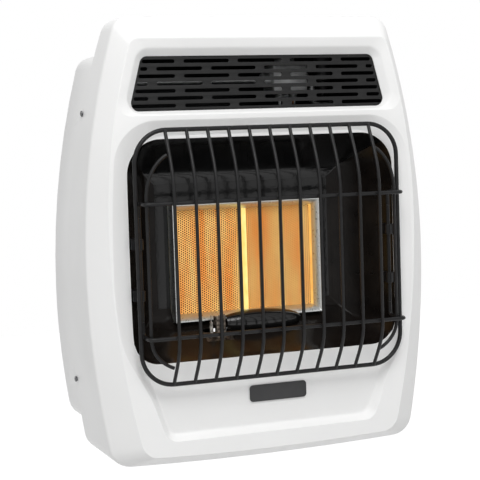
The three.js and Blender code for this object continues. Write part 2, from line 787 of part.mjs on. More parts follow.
const backY = CAB_BACK_Y - SHEET - FIT;
const backFront = backY - SHEET;
let back = prism(inset(cabInner, FIT, FIT), backFront, backY);
const hookSpots = [-1, 1].map((s) => (s * HOOK_SPACING) / 2);
const hookArmTop = HOOK_SLOT_TALL / 2 - FIT;
const hookArmFoot = hookArmTop - 2 * BRACKET_SHEET;
hookSpots.forEach((x) => {
  back = back.subtract(box(
    x - HOOK_WIDTH / 2 - HOOK_SLOT_GAP, x + HOOK_WIDTH / 2 + HOOK_SLOT_GAP,
    backFront - 3, backY + 3,
    -HOOK_SLOT_TALL / 2, HOOK_SLOT_TALL / 2,
  ));
});
[-1, 1].forEach((s) => {
  back = back.subtract(rod('y', s * SPACER_X, 0, spacerZ, backFront - 3, backY + 3, SPACER_STUD_R + FIT, 16));
});
const AIR_SLOTS = 7;
for (let i = 0; i < AIR_SLOTS; i += 1) {
  const x = (i - (AIR_SLOTS - 1) / 2) * AIR_PITCH;
  back = back.subtract(box(x - 4, x + 4, backFront - 3, backY + 3, CAB_BOTTOM + AIR_FOOT, CAB_BOTTOM + AIR_FOOT + AIR_TALL));
}
place('back_panel', back, steel());

// -------------------------------------------------- wall bracket and spacers

let bracket = box(-BRACKET_WIDTH / 2, BRACKET_WIDTH / 2, -BRACKET_SHEET, 0, -BRACKET_HEIGHT / 2, BRACKET_HEIGHT / 2);
hookSpots.forEach((x) => {
  const arm = box(
    x - HOOK_WIDTH / 2, x + HOOK_WIDTH / 2,
    backFront - FIT - BRACKET_SHEET, -BRACKET_SHEET / 2,
    hookArmFoot, hookArmTop,
  );
  const tip = box(
    x - HOOK_WIDTH / 2, x + HOOK_WIDTH / 2,
    backFront - FIT - BRACKET_SHEET, backFront - FIT,
    hookArmFoot, HOOK_TOP,
  );
  bracket = bracket.add(arm).add(tip);
});
[-1, 1].forEach((s) => {
  bracket = bracket.subtract(rod('y', (s * BRACKET_HOLE_SPACING) / 2, 0, BRACKET_HEIGHT / 4, -5, 5, BRACKET_HOLE_R, 20));
});
place('wall_bracket', bracket, steel());

[-1, 1].forEach((s) => {
  const stud = [
    [0, 0], [SPACER_R, 0], [SPACER_R, backY + FIT], [SPACER_STUD_R, backY + FIT],
    [SPACER_STUD_R, backFront - 4], [0, backFront - 4],
  ];
  place(`wall_spacer_${sideName(s)}`, turned(stud, 'y', s * SPACER_X, 0, spacerZ, 20), plastic());
});

// -------------------------------------------------------------------- screws

screwSpots.forEach((s) => {
  const x = s.side * sideAt(PANEL, s.z);
  const seat = x + s.side * (FIT + 0.4);
  const profile = [
    [0, s.side * 1.9], [SCREW_R * 0.75, s.side * 1.9], [SCREW_R, s.side * 0.9], [SCREW_R, 0],
    [SCREW_STEM_R, 0], [SCREW_STEM_R, -s.side * 9], [0, -s.side * 9],
  ];
  place(`panel_screw_${sideName(s.side)}_${s.name}`, turned(profile, 'x', seat, s.y, s.z, 16), steel());
});

// ------------------------------------------------------------------- firebox

const fireInset = (d) => inset(FIRE, d, d);

function fireboxBody(t) {
  const rings = BOX_STEPS.map(([deep, share], i) => ringAt(
    fireInset(share * BOX_INSET - t),
    BOX_RIM_Y + deep * BOX_DEPTH + (i > 0 ? t * 0.4 : 0),
  ));
  rings.push(ringAt(fireInset(BOX_INSET - t), BOX_BACK_Y + t));
  return loft(rings.reverse(), false);
}

// floor of the firebox, straight below the middle, at depth y
function floorAt(y) {
  const deep = (y - BOX_RIM_Y) / BOX_DEPTH;
  const k = BOX_STEPS.findIndex(([d]) => d > deep);
  const [d0, s0] = BOX_STEPS[k - 1];
  const [d1, s1] = BOX_STEPS[k];
  return FIRE_BOTTOM + BOX_INSET * (s0 + ((s1 - s0) * (deep - d0)) / (d1 - d0));
}

const pilotY = frameFrontY - PILOT_AHEAD;
const pilotSlot = box(
  PILOT_X - 2 * PILOT_GAP - 1, PILOT_X + 2 * PILOT_GAP - 1,
  pilotY - 11, pilotY + 9,
  FIRE_BOTTOM - 15, FRAME_BOTTOM - 2,
);
const hollowFront = prism(fireInset(0), BOX_RIM_Y - FACE_BEYOND, BOX_RIM_Y + 0.5);
const fireboxShell = fireboxBody(SHEET)
  .add(prism(fireInset(-BOX_RIM_LAP), BOX_RIM_Y, BOX_RIM_Y + SHEET))
  .subtract(fireboxBody(0))
  .subtract(hollowFront)
  .subtract(pilotSlot)
  .subtract(box(
    -FRAME_HALF - FIT, FRAME_HALF + FIT,
    frameFrontY - 5, BOX_BACK_Y + 10,
    FRAME_BOTTOM - FIT, FRAME_TOP + FIT,
  ));

// it is made of four curved walls that meet in the corners, and a flat back
// round the burner: each seam runs through the middle of its corner
const backSpace = (d) => prism(fireInset(BOX_INSET + d), BOX_BACK_Y - 4, BOX_BACK_Y + 10);
const fireboxWalls = fireboxShell.subtract(backSpace(0));
const SEAM = FIT * Math.SQRT2;
function wedge(apex, sign) {
  const reach = 2 * FIRE_HALF + BOX_DEPTH;
  return loft([BOX_RIM_Y - 20, BOX_BACK_Y + 20].map((y) => [
    v3(0, y, apex), v3(reach, y, apex + sign * reach), v3(-reach, y, apex + sign * reach),
  ]), false);
}
const seamTop = FIRE_TOP - FIRE_HALF;
const seamFoot = FIRE_BOTTOM + FIRE_HALF;
const sideWalls = fireboxWalls.subtract(wedge(seamTop, 1)).subtract(wedge(seamFoot, -1));
const halfSpace = (side) => box(
  Math.min(0, side * 2 * FIRE_HALF), Math.max(0, side * 2 * FIRE_HALF),
  BOX_RIM_Y - 20, BOX_BACK_Y + 20, 2 * FIRE_BOTTOM, -2 * FIRE_TOP,
);
place('firebox_back', fireboxShell.intersect(backSpace(FIT)), black());
place('firebox_top', fireboxWalls.intersect(wedge(seamTop + SEAM, 1)), black());
place('firebox_bottom', fireboxWalls.intersect(wedge(seamFoot - SEAM, -1)), black());
place('firebox_left', sideWalls.intersect(halfSpace(-1)), black());
place('firebox_right', sideWalls.intersect(halfSpace(1)), black());

// egg-shaped dome over the burner's foot, against the frame and the floor
function domeBody() {
  const g = new THREE.SphereGeometry(1, 26, 14);
  g.scale(DOME_HALF, DOME_DEEP, DOME_TALL);
  g.translate(DOME_X, frameFrontY, FRAME_BOTTOM - DOME_DROP);
  return solid(g);
}
const fireboxHollow = fireboxBody(-FIT).add(prism(fireInset(FIT), BOX_RIM_Y - FACE_BEYOND, BOX_RIM_Y + 0.5));
const domeKeep = box(
  DOME_X - DOME_HALF - 5, DOME_X + DOME_HALF + 5,
  BOX_RIM_Y, frameFrontY - FIT,
  FIRE_BOTTOM, FRAME_TOP,
);
const pilotSpots = {
  burner: { x: PILOT_X, y: pilotY, r: PILOT_R },
  electrode: { x: PILOT_X - PILOT_GAP, y: pilotY, r: 2 },
  couple: { x: PILOT_X + PILOT_GAP - 1, y: pilotY - 4, r: 1.6 },
};
let dome = domeBody().intersect(fireboxHollow).intersect(domeKeep);
Object.values(pilotSpots).forEach((p) => {
  dome = dome.subtract(box(p.x - p.r - 0.8, p.x + p.r + 0.8, p.y - 12, p.y + 20, FIRE_BOTTOM - 20, FRAME_TOP));
});
const largest = (body) => body.decompose().sort((p, q) => q.volume() - p.volume())[0];
place('burner_dome', largest(dome), black());

// -------------------------------------------------------------------- burner

function frameRing(grow, y) {
  return [
    v3(FRAME_HALF + grow, y, FRAME_TOP + grow),
    v3(FRAME_HALF + grow, y, FRAME_BOTTOM - grow),
    v3(-FRAME_HALF - grow, y, FRAME_BOTTOM - grow),
    v3(-FRAME_HALF - grow, y, FRAME_TOP + grow),
  ];
}
const frame = loft([frameRing(0, frameSeatY), frameRing(0, frameFrontY)], false)
  .subtract(loft([
    frameRing(-FRAME_BORDER, frameSeatY + 5),
    frameRing(-FRAME_BORDER, frameStepY),
    frameRing(-FRAME_EDGE, frameFrontY),
    frameRing(-FRAME_EDGE, frameFrontY - 5),
  ], false))
  .add(box(
    -FRAME_BAR / 2, FRAME_BAR / 2, frameStepY, frameSeatY,
    FRAME_BOTTOM + FRAME_BORDER - 1, FRAME_TOP - FRAME_BORDER + 1,
  ));
place('plaque_frame', frame, bright());

const plaqueMid = (FRAME_TOP + FRAME_BOTTOM) / 2;
[-1, 1].forEach((s) => {
  const x = s * (PLAQUE_WIDTH / 2 + FIT / 2);
  const ring = (d, y) => [
    v3(x + PLAQUE_WIDTH / 2 - d, y, plaqueMid + PLAQUE_HEIGHT / 2 - d),
    v3(x + PLAQUE_WIDTH / 2 - d, y, plaqueMid - PLAQUE_HEIGHT / 2 + d),
    v3(x - PLAQUE_WIDTH / 2 + d, y, plaqueMid - PLAQUE_HEIGHT / 2 + d),
    v3(x - PLAQUE_WIDTH / 2 + d, y, plaqueMid + PLAQUE_HEIGHT / 2 - d),
  ];
  const plaque = loft([
    ring(0, plaqueFront + PLAQUE_DEPTH),
    ring(0, plaqueFront + PLAQUE_CHAMFER),
    ring(PLAQUE_CHAMFER, plaqueFront),
  ], false);
  place(`plaque_${sideName(s)}`, plaque, ceramic());
});

const pocket = PLAQUE_WIDTH + FIT;
const pocketZ = PLAQUE_HEIGHT / 2 + FIT;
const burnerTop = plaqueMid + pocketZ + BURNER_WALL + 1.5;
const burnerFoot = plaqueMid - pocketZ - BURNER_WALL - 1.5;
const burnerBack = plaqueFront + BURNER_DEPTH;
const seatY = plaqueFront + PLAQUE_DEPTH + FIT;
let burner = box(-BURNER_HALF, BURNER_HALF, plaqueFront, burnerBack, burnerFoot, burnerTop)
  .subtract(box(-pocket - FIT, pocket + FIT, plaqueFront - 5, seatY, plaqueMid - pocketZ, plaqueMid + pocketZ))
  .subtract(box(
    -pocket + BURNER_SEAT, pocket - BURNER_SEAT,
    seatY - 1, burnerBack - BURNER_WALL,
    plaqueMid - pocketZ + BURNER_SEAT, plaqueMid + pocketZ - BURNER_SEAT,
  ))
  .subtract(rod('x', 0, MIX_Y, MIX_Z, BURNER_HALF - 20, BURNER_HALF + 5, MIX_R - 2, 20));
place('burner_box', burner, steel());

// mixing tube: bell end with four air ports, closed by the injector's seat
const mixStart = BURNER_HALF + FIT;
const mixProfile = [
  [MIX_R - 2, mixStart], [MIX_R, mixStart], [MIX_R, MIX_X - 22], [MIX_R + 4, MIX_X - 14],
  [MIX_R + 4, MIX_X], [INJECTOR_R + FIT, MIX_X], [INJECTOR_R + FIT, MIX_X - 2],
  [MIX_R + 2, MIX_X - 2], [MIX_R + 2, MIX_X - 13.5], [MIX_R - 2, MIX_X - 22], [MIX_R - 2, mixStart],
];
let mixing = turned(mixProfile, 'x', 0, MIX_Y, MIX_Z, 24);
for (let i = 0; i < MIX_PORTS / 2; i += 1) {
  const port = i === 0
    ? box(MIX_X - 12, MIX_X - 4, MIX_Y - 5, MIX_Y + 5, MIX_Z - 30, MIX_Z + 30)
    : box(MIX_X - 12, MIX_X - 4, MIX_Y - 30, MIX_Y + 30, MIX_Z - 5, MIX_Z + 5);
  mixing = mixing.subtract(port);
}
place('mixing_tube', mixing, alloy());

const injectorEnd = MIX_X + INJECTOR_LONG;
const injectorProfile = [
  [1.2, MIX_X - 8], [4, MIX_X - 7], [INJECTOR_R, MIX_X - 4], [INJECTOR_R, MIX_X + FIT],
  [INJECTOR_R + 3, MIX_X + FIT], [INJECTOR_R + 3, injectorEnd], [TUBE_R + FIT, injectorEnd],
  [TUBE_R + FIT, injectorEnd - 7], [1.2, injectorEnd - 9], [1.2, MIX_X - 8],
];
place('injector', turned(injectorProfile, 'x', 0, MIX_Y, MIX_Z, 18), brass());

// ------------------------------------------------------------ controls deck

let deck = box(
  VALVE_X - 35, VALVE_X - 35 + DECK_WIDTH,
  CONTROL_Y - DECK_DEPTH / 2, CONTROL_Y + DECK_DEPTH / 2,
  deckZ, deckTop,
)
  .subtract(rod('z', VALVE_X, CONTROL_Y, deckZ, -5, 5, VALVE_HOLE_R, 24))
  .subtract(rod('z', IGNITER_X, CONTROL_Y, deckZ, -5, 5, IGNITER_HOLE_R, 24));
place('control_deck', deck, plastic());

// valve: body, bosses and a well for the spring collar, under the cabinet top
const capZ = CAB_TOP - SHEET - FIT;
const bossR = COLLAR_R + RUN + 3.5;
const wellFloor = capZ - 11.5;
const collarFoot = wellFloor + VALVE_PRESS + 0.8;
const bodyTop = capZ - 16;
const bodyFoot = bodyTop - VALVE_TALL;
const knobFoot = deckTop + VALVE_PRESS + PRESS_CLEAR;
const stemFoot = bodyTop - 14;
const valveMidZ = (bodyFoot + bodyTop) / 2;
let valve = box(
  VALVE_X - VALVE_HALF, VALVE_X + VALVE_HALF,
  CONTROL_Y - VALVE_DEEP / 2, CONTROL_Y + VALVE_DEEP / 2,
  bodyFoot, bodyTop,
)
  .add(rod('z', VALVE_X, CONTROL_Y, 0, bodyTop - 1, capZ, bossR, 24))
  .add(rod('x', 0, CONTROL_Y, valveMidZ, VALVE_X - PORT_IN, VALVE_X - VALVE_HALF + 1, 9, 16))
  .add(rod('x', 0, CONTROL_Y, valveMidZ, VALVE_X + VALVE_HALF - 1, VALVE_X + PORT_OUT, 8, 16))
  .add(rod('z', VALVE_X - 8, CONTROL_Y, 0, bodyFoot - 8, bodyFoot + 1, 5.5, 12))
  .add(rod('z', VALVE_X + 10, CONTROL_Y, 0, bodyFoot - 8, bodyFoot + 1, 5.5, 12))
  .subtract(rod('z', VALVE_X, CONTROL_Y, 0, wellFloor, capZ + 5, COLLAR_R + RUN, 24))
  .subtract(rod('z', VALVE_X, CONTROL_Y, 0, stemFoot - VALVE_PRESS - 2, wellFloor + 1, STEM_R + RUN, 16));
place('gas_valve', valve, alloy());

// spring collar: goes down with the knob, does not turn
const collarTop = knobFoot - FIT;
const collarProfile = [
  [STEM_R + RUN, collarFoot], [COLLAR_R, collarFoot], [COLLAR_R, collarTop],
  [STEM_R + RUN, collarTop], [STEM_R + RUN, collarFoot],
];
place('valve_collar', turned(collarProfile, 'z', VALVE_X, CONTROL_Y, 0, 24), steel());

// stem with a flat, and the knob on it
const stemTop = knobFoot + KNOB_HEIGHT * 0.62;
const stem = rod('z', VALVE_X, CONTROL_Y, 0, stemFoot, stemTop, STEM_R, 16)
  .subtract(box(VALVE_X + STEM_R * 0.6, VALVE_X + STEM_R + 1, CONTROL_Y - 5, CONTROL_Y + 5, knobFoot, stemTop + 1));
place('valve_stem', stem, brass());

const knobProfile = [
  [0, knobFoot], [KNOB_R, knobFoot], [KNOB_R, knobFoot + KNOB_SKIRT], [KNOB_TOP_R + 0.8, knobFoot + KNOB_SKIRT + 1.6],
  [KNOB_TOP_R, knobFoot + KNOB_HEIGHT - 2], [KNOB_TOP_R - 2, knobFoot + KNOB_HEIGHT], [0, knobFoot + KNOB_HEIGHT],
];
let knob = turned(knobProfile, 'z', VALVE_X, CONTROL_Y, 0, 2 * KNOB_GRIPS)
  .subtract(rod('z', VALVE_X, CONTROL_Y, 0, knobFoot - 1, stemTop + FIT, STEM_R + FIT, 16));
for (let i = 0; i < KNOB_GRIPS; i += 1) {
  const a = ((i + 0.5) / KNOB_GRIPS) * 2 * Math.PI;
  const groove = rod(
    'z', VALVE_X + (KNOB_TOP_R + 0.6) * Math.cos(a), CONTROL_Y + (KNOB_TOP_R + 0.6) * Math.sin(a), 0,
    knobFoot + KNOB_SKIRT + 2, knobFoot + KNOB_HEIGHT + 1, 1.3, 6,
  );
  if (i % 3 !== 2) knob = knob.subtract(groove);
}
// pointer notch on the skirt, at the front when the gas is off
knob = knob.subtract(box(VALVE_X - 1, VALVE_X + 1, CONTROL_Y - KNOB_R - 1, CONTROL_Y - KNOB_TOP_R - 1.2, knobFoot - 1, knobFoot + KNOB_SKIRT + 1));
place('control_knob', knob, plastic());

// piezo igniter: a sleeve under the deck and its push button
const igniterFoot = capZ - IGNITER_LONG;
const sleeveR = BUTTON_R + 2.2;
const buttonFoot = deckTop + BUTTON_PRESS + PRESS_CLEAR;
const buttonStemFoot = capZ - 18;
const igniterProfile = [
  [0, igniterFoot], [6, igniterFoot], [6, igniterFoot + 10], [sleeveR, igniterFoot + 11], [sleeveR, capZ],
  [BUTTON_STEM_R + RUN, capZ], [BUTTON_STEM_R + RUN, buttonStemFoot - BUTTON_PRESS - 2], [0, buttonStemFoot - BUTTON_PRESS - 2],
];
place('igniter_body', turned(igniterProfile, 'z', IGNITER_X, CONTROL_Y, 0, 20), plastic());
const buttonProfile = [
  [0, buttonStemFoot], [BUTTON_STEM_R, buttonStemFoot], [BUTTON_STEM_R, buttonFoot], [BUTTON_R, buttonFoot],
  [BUTTON_R, buttonFoot + 6.5], [BUTTON_R - 1.5, buttonFoot + 8], [0, buttonFoot + 8],
];
place('igniter_button', turned(buttonProfile, 'z', IGNITER_X, CONTROL_Y, 0, 20), plastic());

// ----------------------------------------------------------------- gas train

const regTop = REGULATOR_Z + REGULATOR_HALF;
const regFoot = REGULATOR_Z - REGULATOR_HALF;
const regProfile = [
  [0, regFoot], [9, regFoot], [9, regFoot + 8], [24, regFoot + 10], [27, regFoot + 16], [27, regTop - 14],
  [24, regTop - 9], [12, regTop - 8], [12, regTop], [TUBE_R + FIT, regTop], [TUBE_R + FIT, regTop - 8], [0, regTop - 8],
];
place('regulator', turned(regProfile, 'z', REGULATOR_X, REGULATOR_Y, 0, 24), alloy());

const inletEnd = CAB_BOTTOM - 12;
const inletProfile = [
  [INLET_BORE_R, inletEnd], [INLET_R, inletEnd], [INLET_R, CAB_BOTTOM + SHEET + FIT],
  [INLET_R + 3.5, CAB_BOTTOM + SHEET + FIT], [INLET_R + 3.5, CAB_BOTTOM + 14], [INLET_R, CAB_BOTTOM + 15],
  [INLET_R, regFoot - FIT], [INLET_BORE_R, regFoot - FIT], [INLET_BORE_R, inletEnd],
];
place('inlet_fitting', turned(inletProfile, 'z', REGULATOR_X, REGULATOR_Y, 0, 24), brass());

const valveLeft = VALVE_X - PORT_IN - FIT;
const valveRight = VALVE_X + PORT_OUT + FIT;
const gapX = (valveRight + IGNITER_X - sleeveR) / 2;   // between the valve and the igniter
const supply = route([
  v3(REGULATOR_X, REGULATOR_Y, regTop - 7),
  v3(REGULATOR_X, REGULATOR_Y, valveMidZ),
  v3(valveLeft, CONTROL_Y, valveMidZ),
], 30, 6);
place('supply_tube', along(supply, TUBE_R, 8), alloy());

const burnerTube = route([
  v3(injectorEnd - 6.5, MIX_Y, MIX_Z),
  v3(injectorEnd + TUBE_TURN, MIX_Y, MIX_Z),
  v3(injectorEnd + TUBE_TURN, MIX_Y, MIX_Z + TUBE_RISE),
  v3(IGNITER_X + IGNITER_PASS, CONTROL_Y, bodyFoot - TUBE_DIP),
  v3(gapX, CONTROL_Y, bodyFoot - TUBE_DIP),
  v3(gapX, CONTROL_Y, valveMidZ),
  v3(valveRight, CONTROL_Y, valveMidZ),
], 12, 4);
place('burner_tube', along(burnerTube, TUBE_R, 8), alloy());

// --------------------------------------------------------------------- pilot

// a plate that follows the firebox floor from below and closes its slot
const pilotFloor = floorAt(pilotY);
let pilotBracket = fireboxBody(SHEET + FIT + 1.2).subtract(fireboxBody(SHEET + FIT)).intersect(box(
  PILOT_X - 2 * PILOT_GAP - 6, PILOT_X + 2 * PILOT_GAP + 4,
  pilotY - 15, pilotY + 5,
  FIRE_BOTTOM - 20, FRAME_BOTTOM - 4,
));
Object.values(pilotSpots).forEach((p) => {
  pilotBracket = pilotBracket.subtract(rod('z', p.x, p.y, 0, pilotFloor - 30, pilotFloor + 30, p.r + FIT, 12));
});
place('pilot_bracket', pilotBracket, steel());

const pilotFoot = pilotFloor - 16;
const pilotTip = FRAME_BOTTOM + PILOT_RISE;
const hoodR = PILOT_R + 1.6;
const pilotProfile = [
  [0, pilotFoot], [PILOT_R + 1.6, pilotFoot], [PILOT_R + 1.6, pilotFoot + 7], [PILOT_R, pilotFoot + 7.5],
  [PILOT_R, pilotTip - 11], [hoodR, pilotTip - 10], [hoodR, pilotTip], [hoodR - 1.2, pilotTip],
  [hoodR - 1.2, pilotTip - 8], [0, pilotTip - 8],
];
const pilotBody = turned(pilotProfile, 'z', PILOT_X, pilotY, 0, 16).subtract(box(
  PILOT_X - 2.6, PILOT_X + 2.6, pilotY, pilotY + 10, pilotTip - 6, pilotTip + 1,
));
place('pilot_burner', pilotBody, bright());

const tipR = 0.7;
const electrodeProfile = [
  [0, pilotFoot], [2, pilotFoot], [2, pilotTip - 7], [tipR, pilotTip - 6.5], [tipR, pilotTip + 1], [0, pilotTip + 1],
];
const spotE = pilotSpots.electrode;
place('pilot_electrode', turned(electrodeProfile, 'z', spotE.x, spotE.y, 0, 12), porcelain());

const spotC = pilotSpots.couple;
const coupleProfile = [
  [0, pilotFoot], [1.6, pilotFoot], [1.6, pilotTip - 4], [1, pilotTip - 3], [1, pilotTip + 2], [0, pilotTip + 2],
];
place('thermocouple_tip', turned(coupleProfile, 'z', spotC.x, spotC.y, 0, 12), steel());

// pilot tube, thermocouple line and igniter lead run together: down from the
// pilot, back under the firebox, to the right, up the side, and in to the top
function serviceRun(spot, order, foot, topX, topY, topZ, upTo) {
  const low = pilotFoot - 10 - order * RUN_STEP;
  const y = RUN_Y + order * RUN_STEP;
  return route([
    v3(spot.x, spot.y, foot),
    v3(spot.x, spot.y, low),
    v3(spot.x, y, low),
    v3(RUN_X, y, low),
    v3(RUN_X, y, topZ),
    v3(topX, y, topZ),
    v3(topX, topY, topZ),
    v3(topX, topY, upTo),
  ], 9, 3);
}
const bossFoot = bodyFoot - 8 - FIT;
const pilotTube = serviceRun(pilotSpots.burner, 0, pilotFoot - FIT, VALVE_X - 8, CONTROL_Y, bodyFoot - 19, bossFoot);
place('pilot_tube', along(pilotTube, PILOT_TUBE_R, 6), alloy());
const coupleLine = serviceRun(spotC, 1, pilotFoot - FIT, VALVE_X + 10, CONTROL_Y, bodyFoot - 13, bossFoot);
place('thermocouple_line', along(coupleLine, COUPLE_R, 6), copper());
const leadLine = serviceRun(spotE, 2, pilotFoot - FIT, IGNITER_X, CONTROL_Y, bodyFoot - 7, igniterFoot - FIT);
place('igniter_lead', along(leadLine, LEAD_R, 6), plastic());

// --------------------------------------------------------------- heat baffle

const baffleZ = FIRE_TOP + BAFFLE_RISE;
const baffleRear = backFront - FIT;
const baffleShape = new THREE.Shape([
  [baffleRear, baffleZ - 14], [baffleRear, baffleZ + SHEET], [BAFFLE_FRONT_Y + 22, baffleZ + SHEET],
  [BAFFLE_FRONT_Y, baffleZ + 13], [BAFFLE_FRONT_Y - SHEET, baffleZ + 13], [BAFFLE_FRONT_Y - SHEET, baffleZ + 12],
  [BAFFLE_FRONT_Y + 21.4, baffleZ], [baffleRear - SHEET, baffleZ], [baffleRear - SHEET, baffleZ - 14],
].map(([y, z]) => new THREE.Vector2(y, z)));
const baffleGeometry = new THREE.ExtrudeGeometry(baffleShape, { depth: 2 * BAFFLE_HALF, bevelEnabled: false });
baffleGeometry.applyMatrix4(new THREE.Matrix4().makeBasis(v3(0, 1, 0), v3(0, 0, 1), v3(1, 0, 0)));
baffleGeometry.translate(-BAFFLE_HALF, 0, 0);
place('heat_baffle', solid(baffleGeometry), steel());

// --------------------------------------------------------------- wire guard

// rim: one closed wire, a rounded rectangle
const rimRings = [];
const RIM_TURN = 6;
[[1, 1], [1, -1], [-1, -1], [-1, 1]].forEach(([sx, sz], quarter) => {
  const cx = sx * (RIM_HALF - RIM_CORNER);
  const cz = sz > 0 ? RIM_TOP - RIM_CORNER : RIM_BOTTOM + RIM_CORNER;
  for (let i = 0; i <= RIM_TURN; i += 1) {
    const a = Math.PI / 2 - (quarter + i / RIM_TURN) * (Math.PI / 2);
    const out = v3(Math.cos(a), 0, Math.sin(a));
    const centre = v3(cx, RIM_Y, cz).addScaledVector(out, RIM_CORNER);
    const ring = [];
    for (let k = 0; k < WIRE_SIDES; k += 1) {
      const b = ((k + 0.5) / WIRE_SIDES) * 2 * Math.PI;
      ring.push(centre.clone().addScaledVector(out, RIM_R * Math.cos(b)).add(v3(0, RIM_R * Math.sin(b), 0)));
    }
    rimRings.push(ring);
  }
});
place('guard_rim', loft(rimRings, true), wire());

// the same rim grown by the fit, to cut what is welded to it
function rimKeep() {
  const grown = rimRings.map((ring) => {
    const centre = ring.reduce((sum, p) => sum.add(p), v3(0, 0, 0)).divideScalar(ring.length);
    return ring.map((p) => centre.clone().add(p.clone().sub(centre).multiplyScalar((RIM_R + FIT + 0.1) / RIM_R)));
  });
  return loft(grown, true);
}
const rimCut = rimKeep();

// an upright wire: bowed out from the rim, straight in the middle, bowed back
function uprightPath(x) {
  return bends([
    new THREE.CubicBezierCurve3(
      v3(x, RIM_Y, RIM_TOP), v3(x, RIM_Y - 9, RIM_TOP - 0.28 * BOW_TOP),
      v3(x, GUARD_Y, RIM_TOP - 0.55 * BOW_TOP), v3(x, GUARD_Y, RIM_TOP - BOW_TOP),
    ),
    new THREE.LineCurve3(v3(x, GUARD_Y, RIM_TOP - BOW_TOP), v3(x, GUARD_Y, RIM_BOTTOM + BOW_FOOT)),
    new THREE.CubicBezierCurve3(
      v3(x, GUARD_Y, RIM_BOTTOM + BOW_FOOT), v3(x, GUARD_Y, RIM_BOTTOM + 0.62 * BOW_FOOT),
      v3(x, GUARD_Y + 13, RIM_BOTTOM + 0.35 * BOW_FOOT), v3(x, RIM_Y, RIM_BOTTOM),
    ),
  ], 6);
}
const uprights = [];
for (let i = 0; i < WIRE_COUNT; i += 1) {
  const x = (i - (WIRE_COUNT - 1) / 2) * WIRE_PITCH;
  const body = largest(along(uprightPath(x), WIRE_R, WIRE_SIDES).subtract(rimCut));
  uprights.push(body);
  place(`guard_wire_${String(i + 1).padStart(2, '0')}`, body, wire());
}

// crossbars behind the uprights: each end turns back and down the hoop's side
const barY = GUARD_Y + WIRE_R + BAR_R + FIT;
[['upper', BAR_TOP, -1], ['lower', BAR_BOTTOM, 1]].forEach(([name, z, turn]) => {
  const half = [
    v3(hoopHalf, HOOP_Y, z + turn * HOOP_TAIL),
    v3(hoopHalf, HOOP_Y, z),
    v3(RIM_HALF - RIM_R - BAR_R - FIT - 0.5, RIM_Y - 1, z),
    v3(BAR_REACH, barY, z),
  ];
  const mirrored = half.map((p) => v3(-p.x, p.y, p.z)).reverse();
  place(`guard_crossbar_${name}`, along(route(half.concat(mirrored), 8, 3), BAR_R, WIRE_SIDES), wire());
});

// side wires: from the end uprights out to the side and down
const endX = ((WIRE_COUNT - 1) / 2) * WIRE_PITCH;
const CLIP_SPOTS = [BAR_TOP - CLIP_FROM_BAR, BAR_BOTTOM + CLIP_FROM_BAR];
[-1, 1].forEach((s) => {
  const tuck = endX + WIRE_R + FIT;
  const path = bends([
    new THREE.CubicBezierCurve3(
      v3(s * tuck, SIDE_Y - WIRE_R * 0.75, RIM_TOP - 0.36 * BOW_TOP),
      v3(s * (tuck + WIRE_PITCH * 0.4), SIDE_Y, RIM_TOP - 0.43 * BOW_TOP),
      v3(s * SIDE_HALF, SIDE_Y, RIM_TOP - 0.63 * BOW_TOP), v3(s * SIDE_HALF, SIDE_Y, RIM_TOP - BOW_TOP),
    ),
    new THREE.LineCurve3(v3(s * SIDE_HALF, SIDE_Y, RIM_TOP - BOW_TOP), v3(s * SIDE_HALF, SIDE_Y, RIM_BOTTOM + BOW_FOOT)),
    new THREE.CubicBezierCurve3(
      v3(s * SIDE_HALF, SIDE_Y, RIM_BOTTOM + BOW_FOOT), v3(s * SIDE_HALF, SIDE_Y, RIM_BOTTOM + 0.63 * BOW_FOOT),
      v3(s * (tuck + WIRE_PITCH * 0.4), SIDE_Y, RIM_BOTTOM + 0.44 * BOW_FOOT),
      v3(s * tuck, SIDE_Y - WIRE_R * 0.75, RIM_BOTTOM + 0.37 * BOW_FOOT),
    ),
  ], 6);
  place(`guard_side_wire_${sideName(s)}`, along(path, WIRE_R, WIRE_SIDES), wire());

  // the hoop's upright run, between the two crossbars' tails, with the two
  // clips that hold it to the firebox wall
  const run = bends([new THREE.LineCurve3(
    v3(s * hoopHalf, HOOP_Y, BAR_TOP - HOOP_TAIL - FIT),
    v3(s * hoopHalf, HOOP_Y, BAR_BOTTOM + HOOP_TAIL + FIT),
  )], 1);
  let sideRun = along(run, BAR_R, WIRE_SIDES);
  CLIP_SPOTS.forEach((z) => {
    const clip = rod('z', s * hoopHalf, HOOP_Y, 0, z - 6, z + 6, BAR_R + 1.6, 16)
      .add(box(
        Math.min(s * (hoopHalf - 1), s * (FIRE_HALF + 4)), Math.max(s * (hoopHalf - 1), s * (FIRE_HALF + 4)),
        HOOP_Y + 1, HOOP_Y + 24, z - 6, z + 6,
      ))
      .intersect(fireboxHollow.add(prism(fireInset(2), HOOP_Y - 20, BOX_RIM_Y + 1)));
    sideRun = sideRun.add(largest(clip));
  });
  place(`guard_side_run_${sideName(s)}`, sideRun, wire());
});

export default heater;
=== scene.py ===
# %% [markdown]
# # A wall mounted gas heater
# The heater is a shallow white cabinet with a pressed front panel. Two ceramic plaques
# glow in a black enamelled firebox behind a bowed wire guard. The CAD model gives every
# piece its size and its place, and this lesson dresses it: big sheets get soft pressed
# edges, wires get round, and each surface gets the finish of the real material.
#
# The first cell loads the CAD nodes and their record.

# %% Load the CAD model
import json
import math

import bpy
import numpy as np
from mathutils import Matrix, Vector


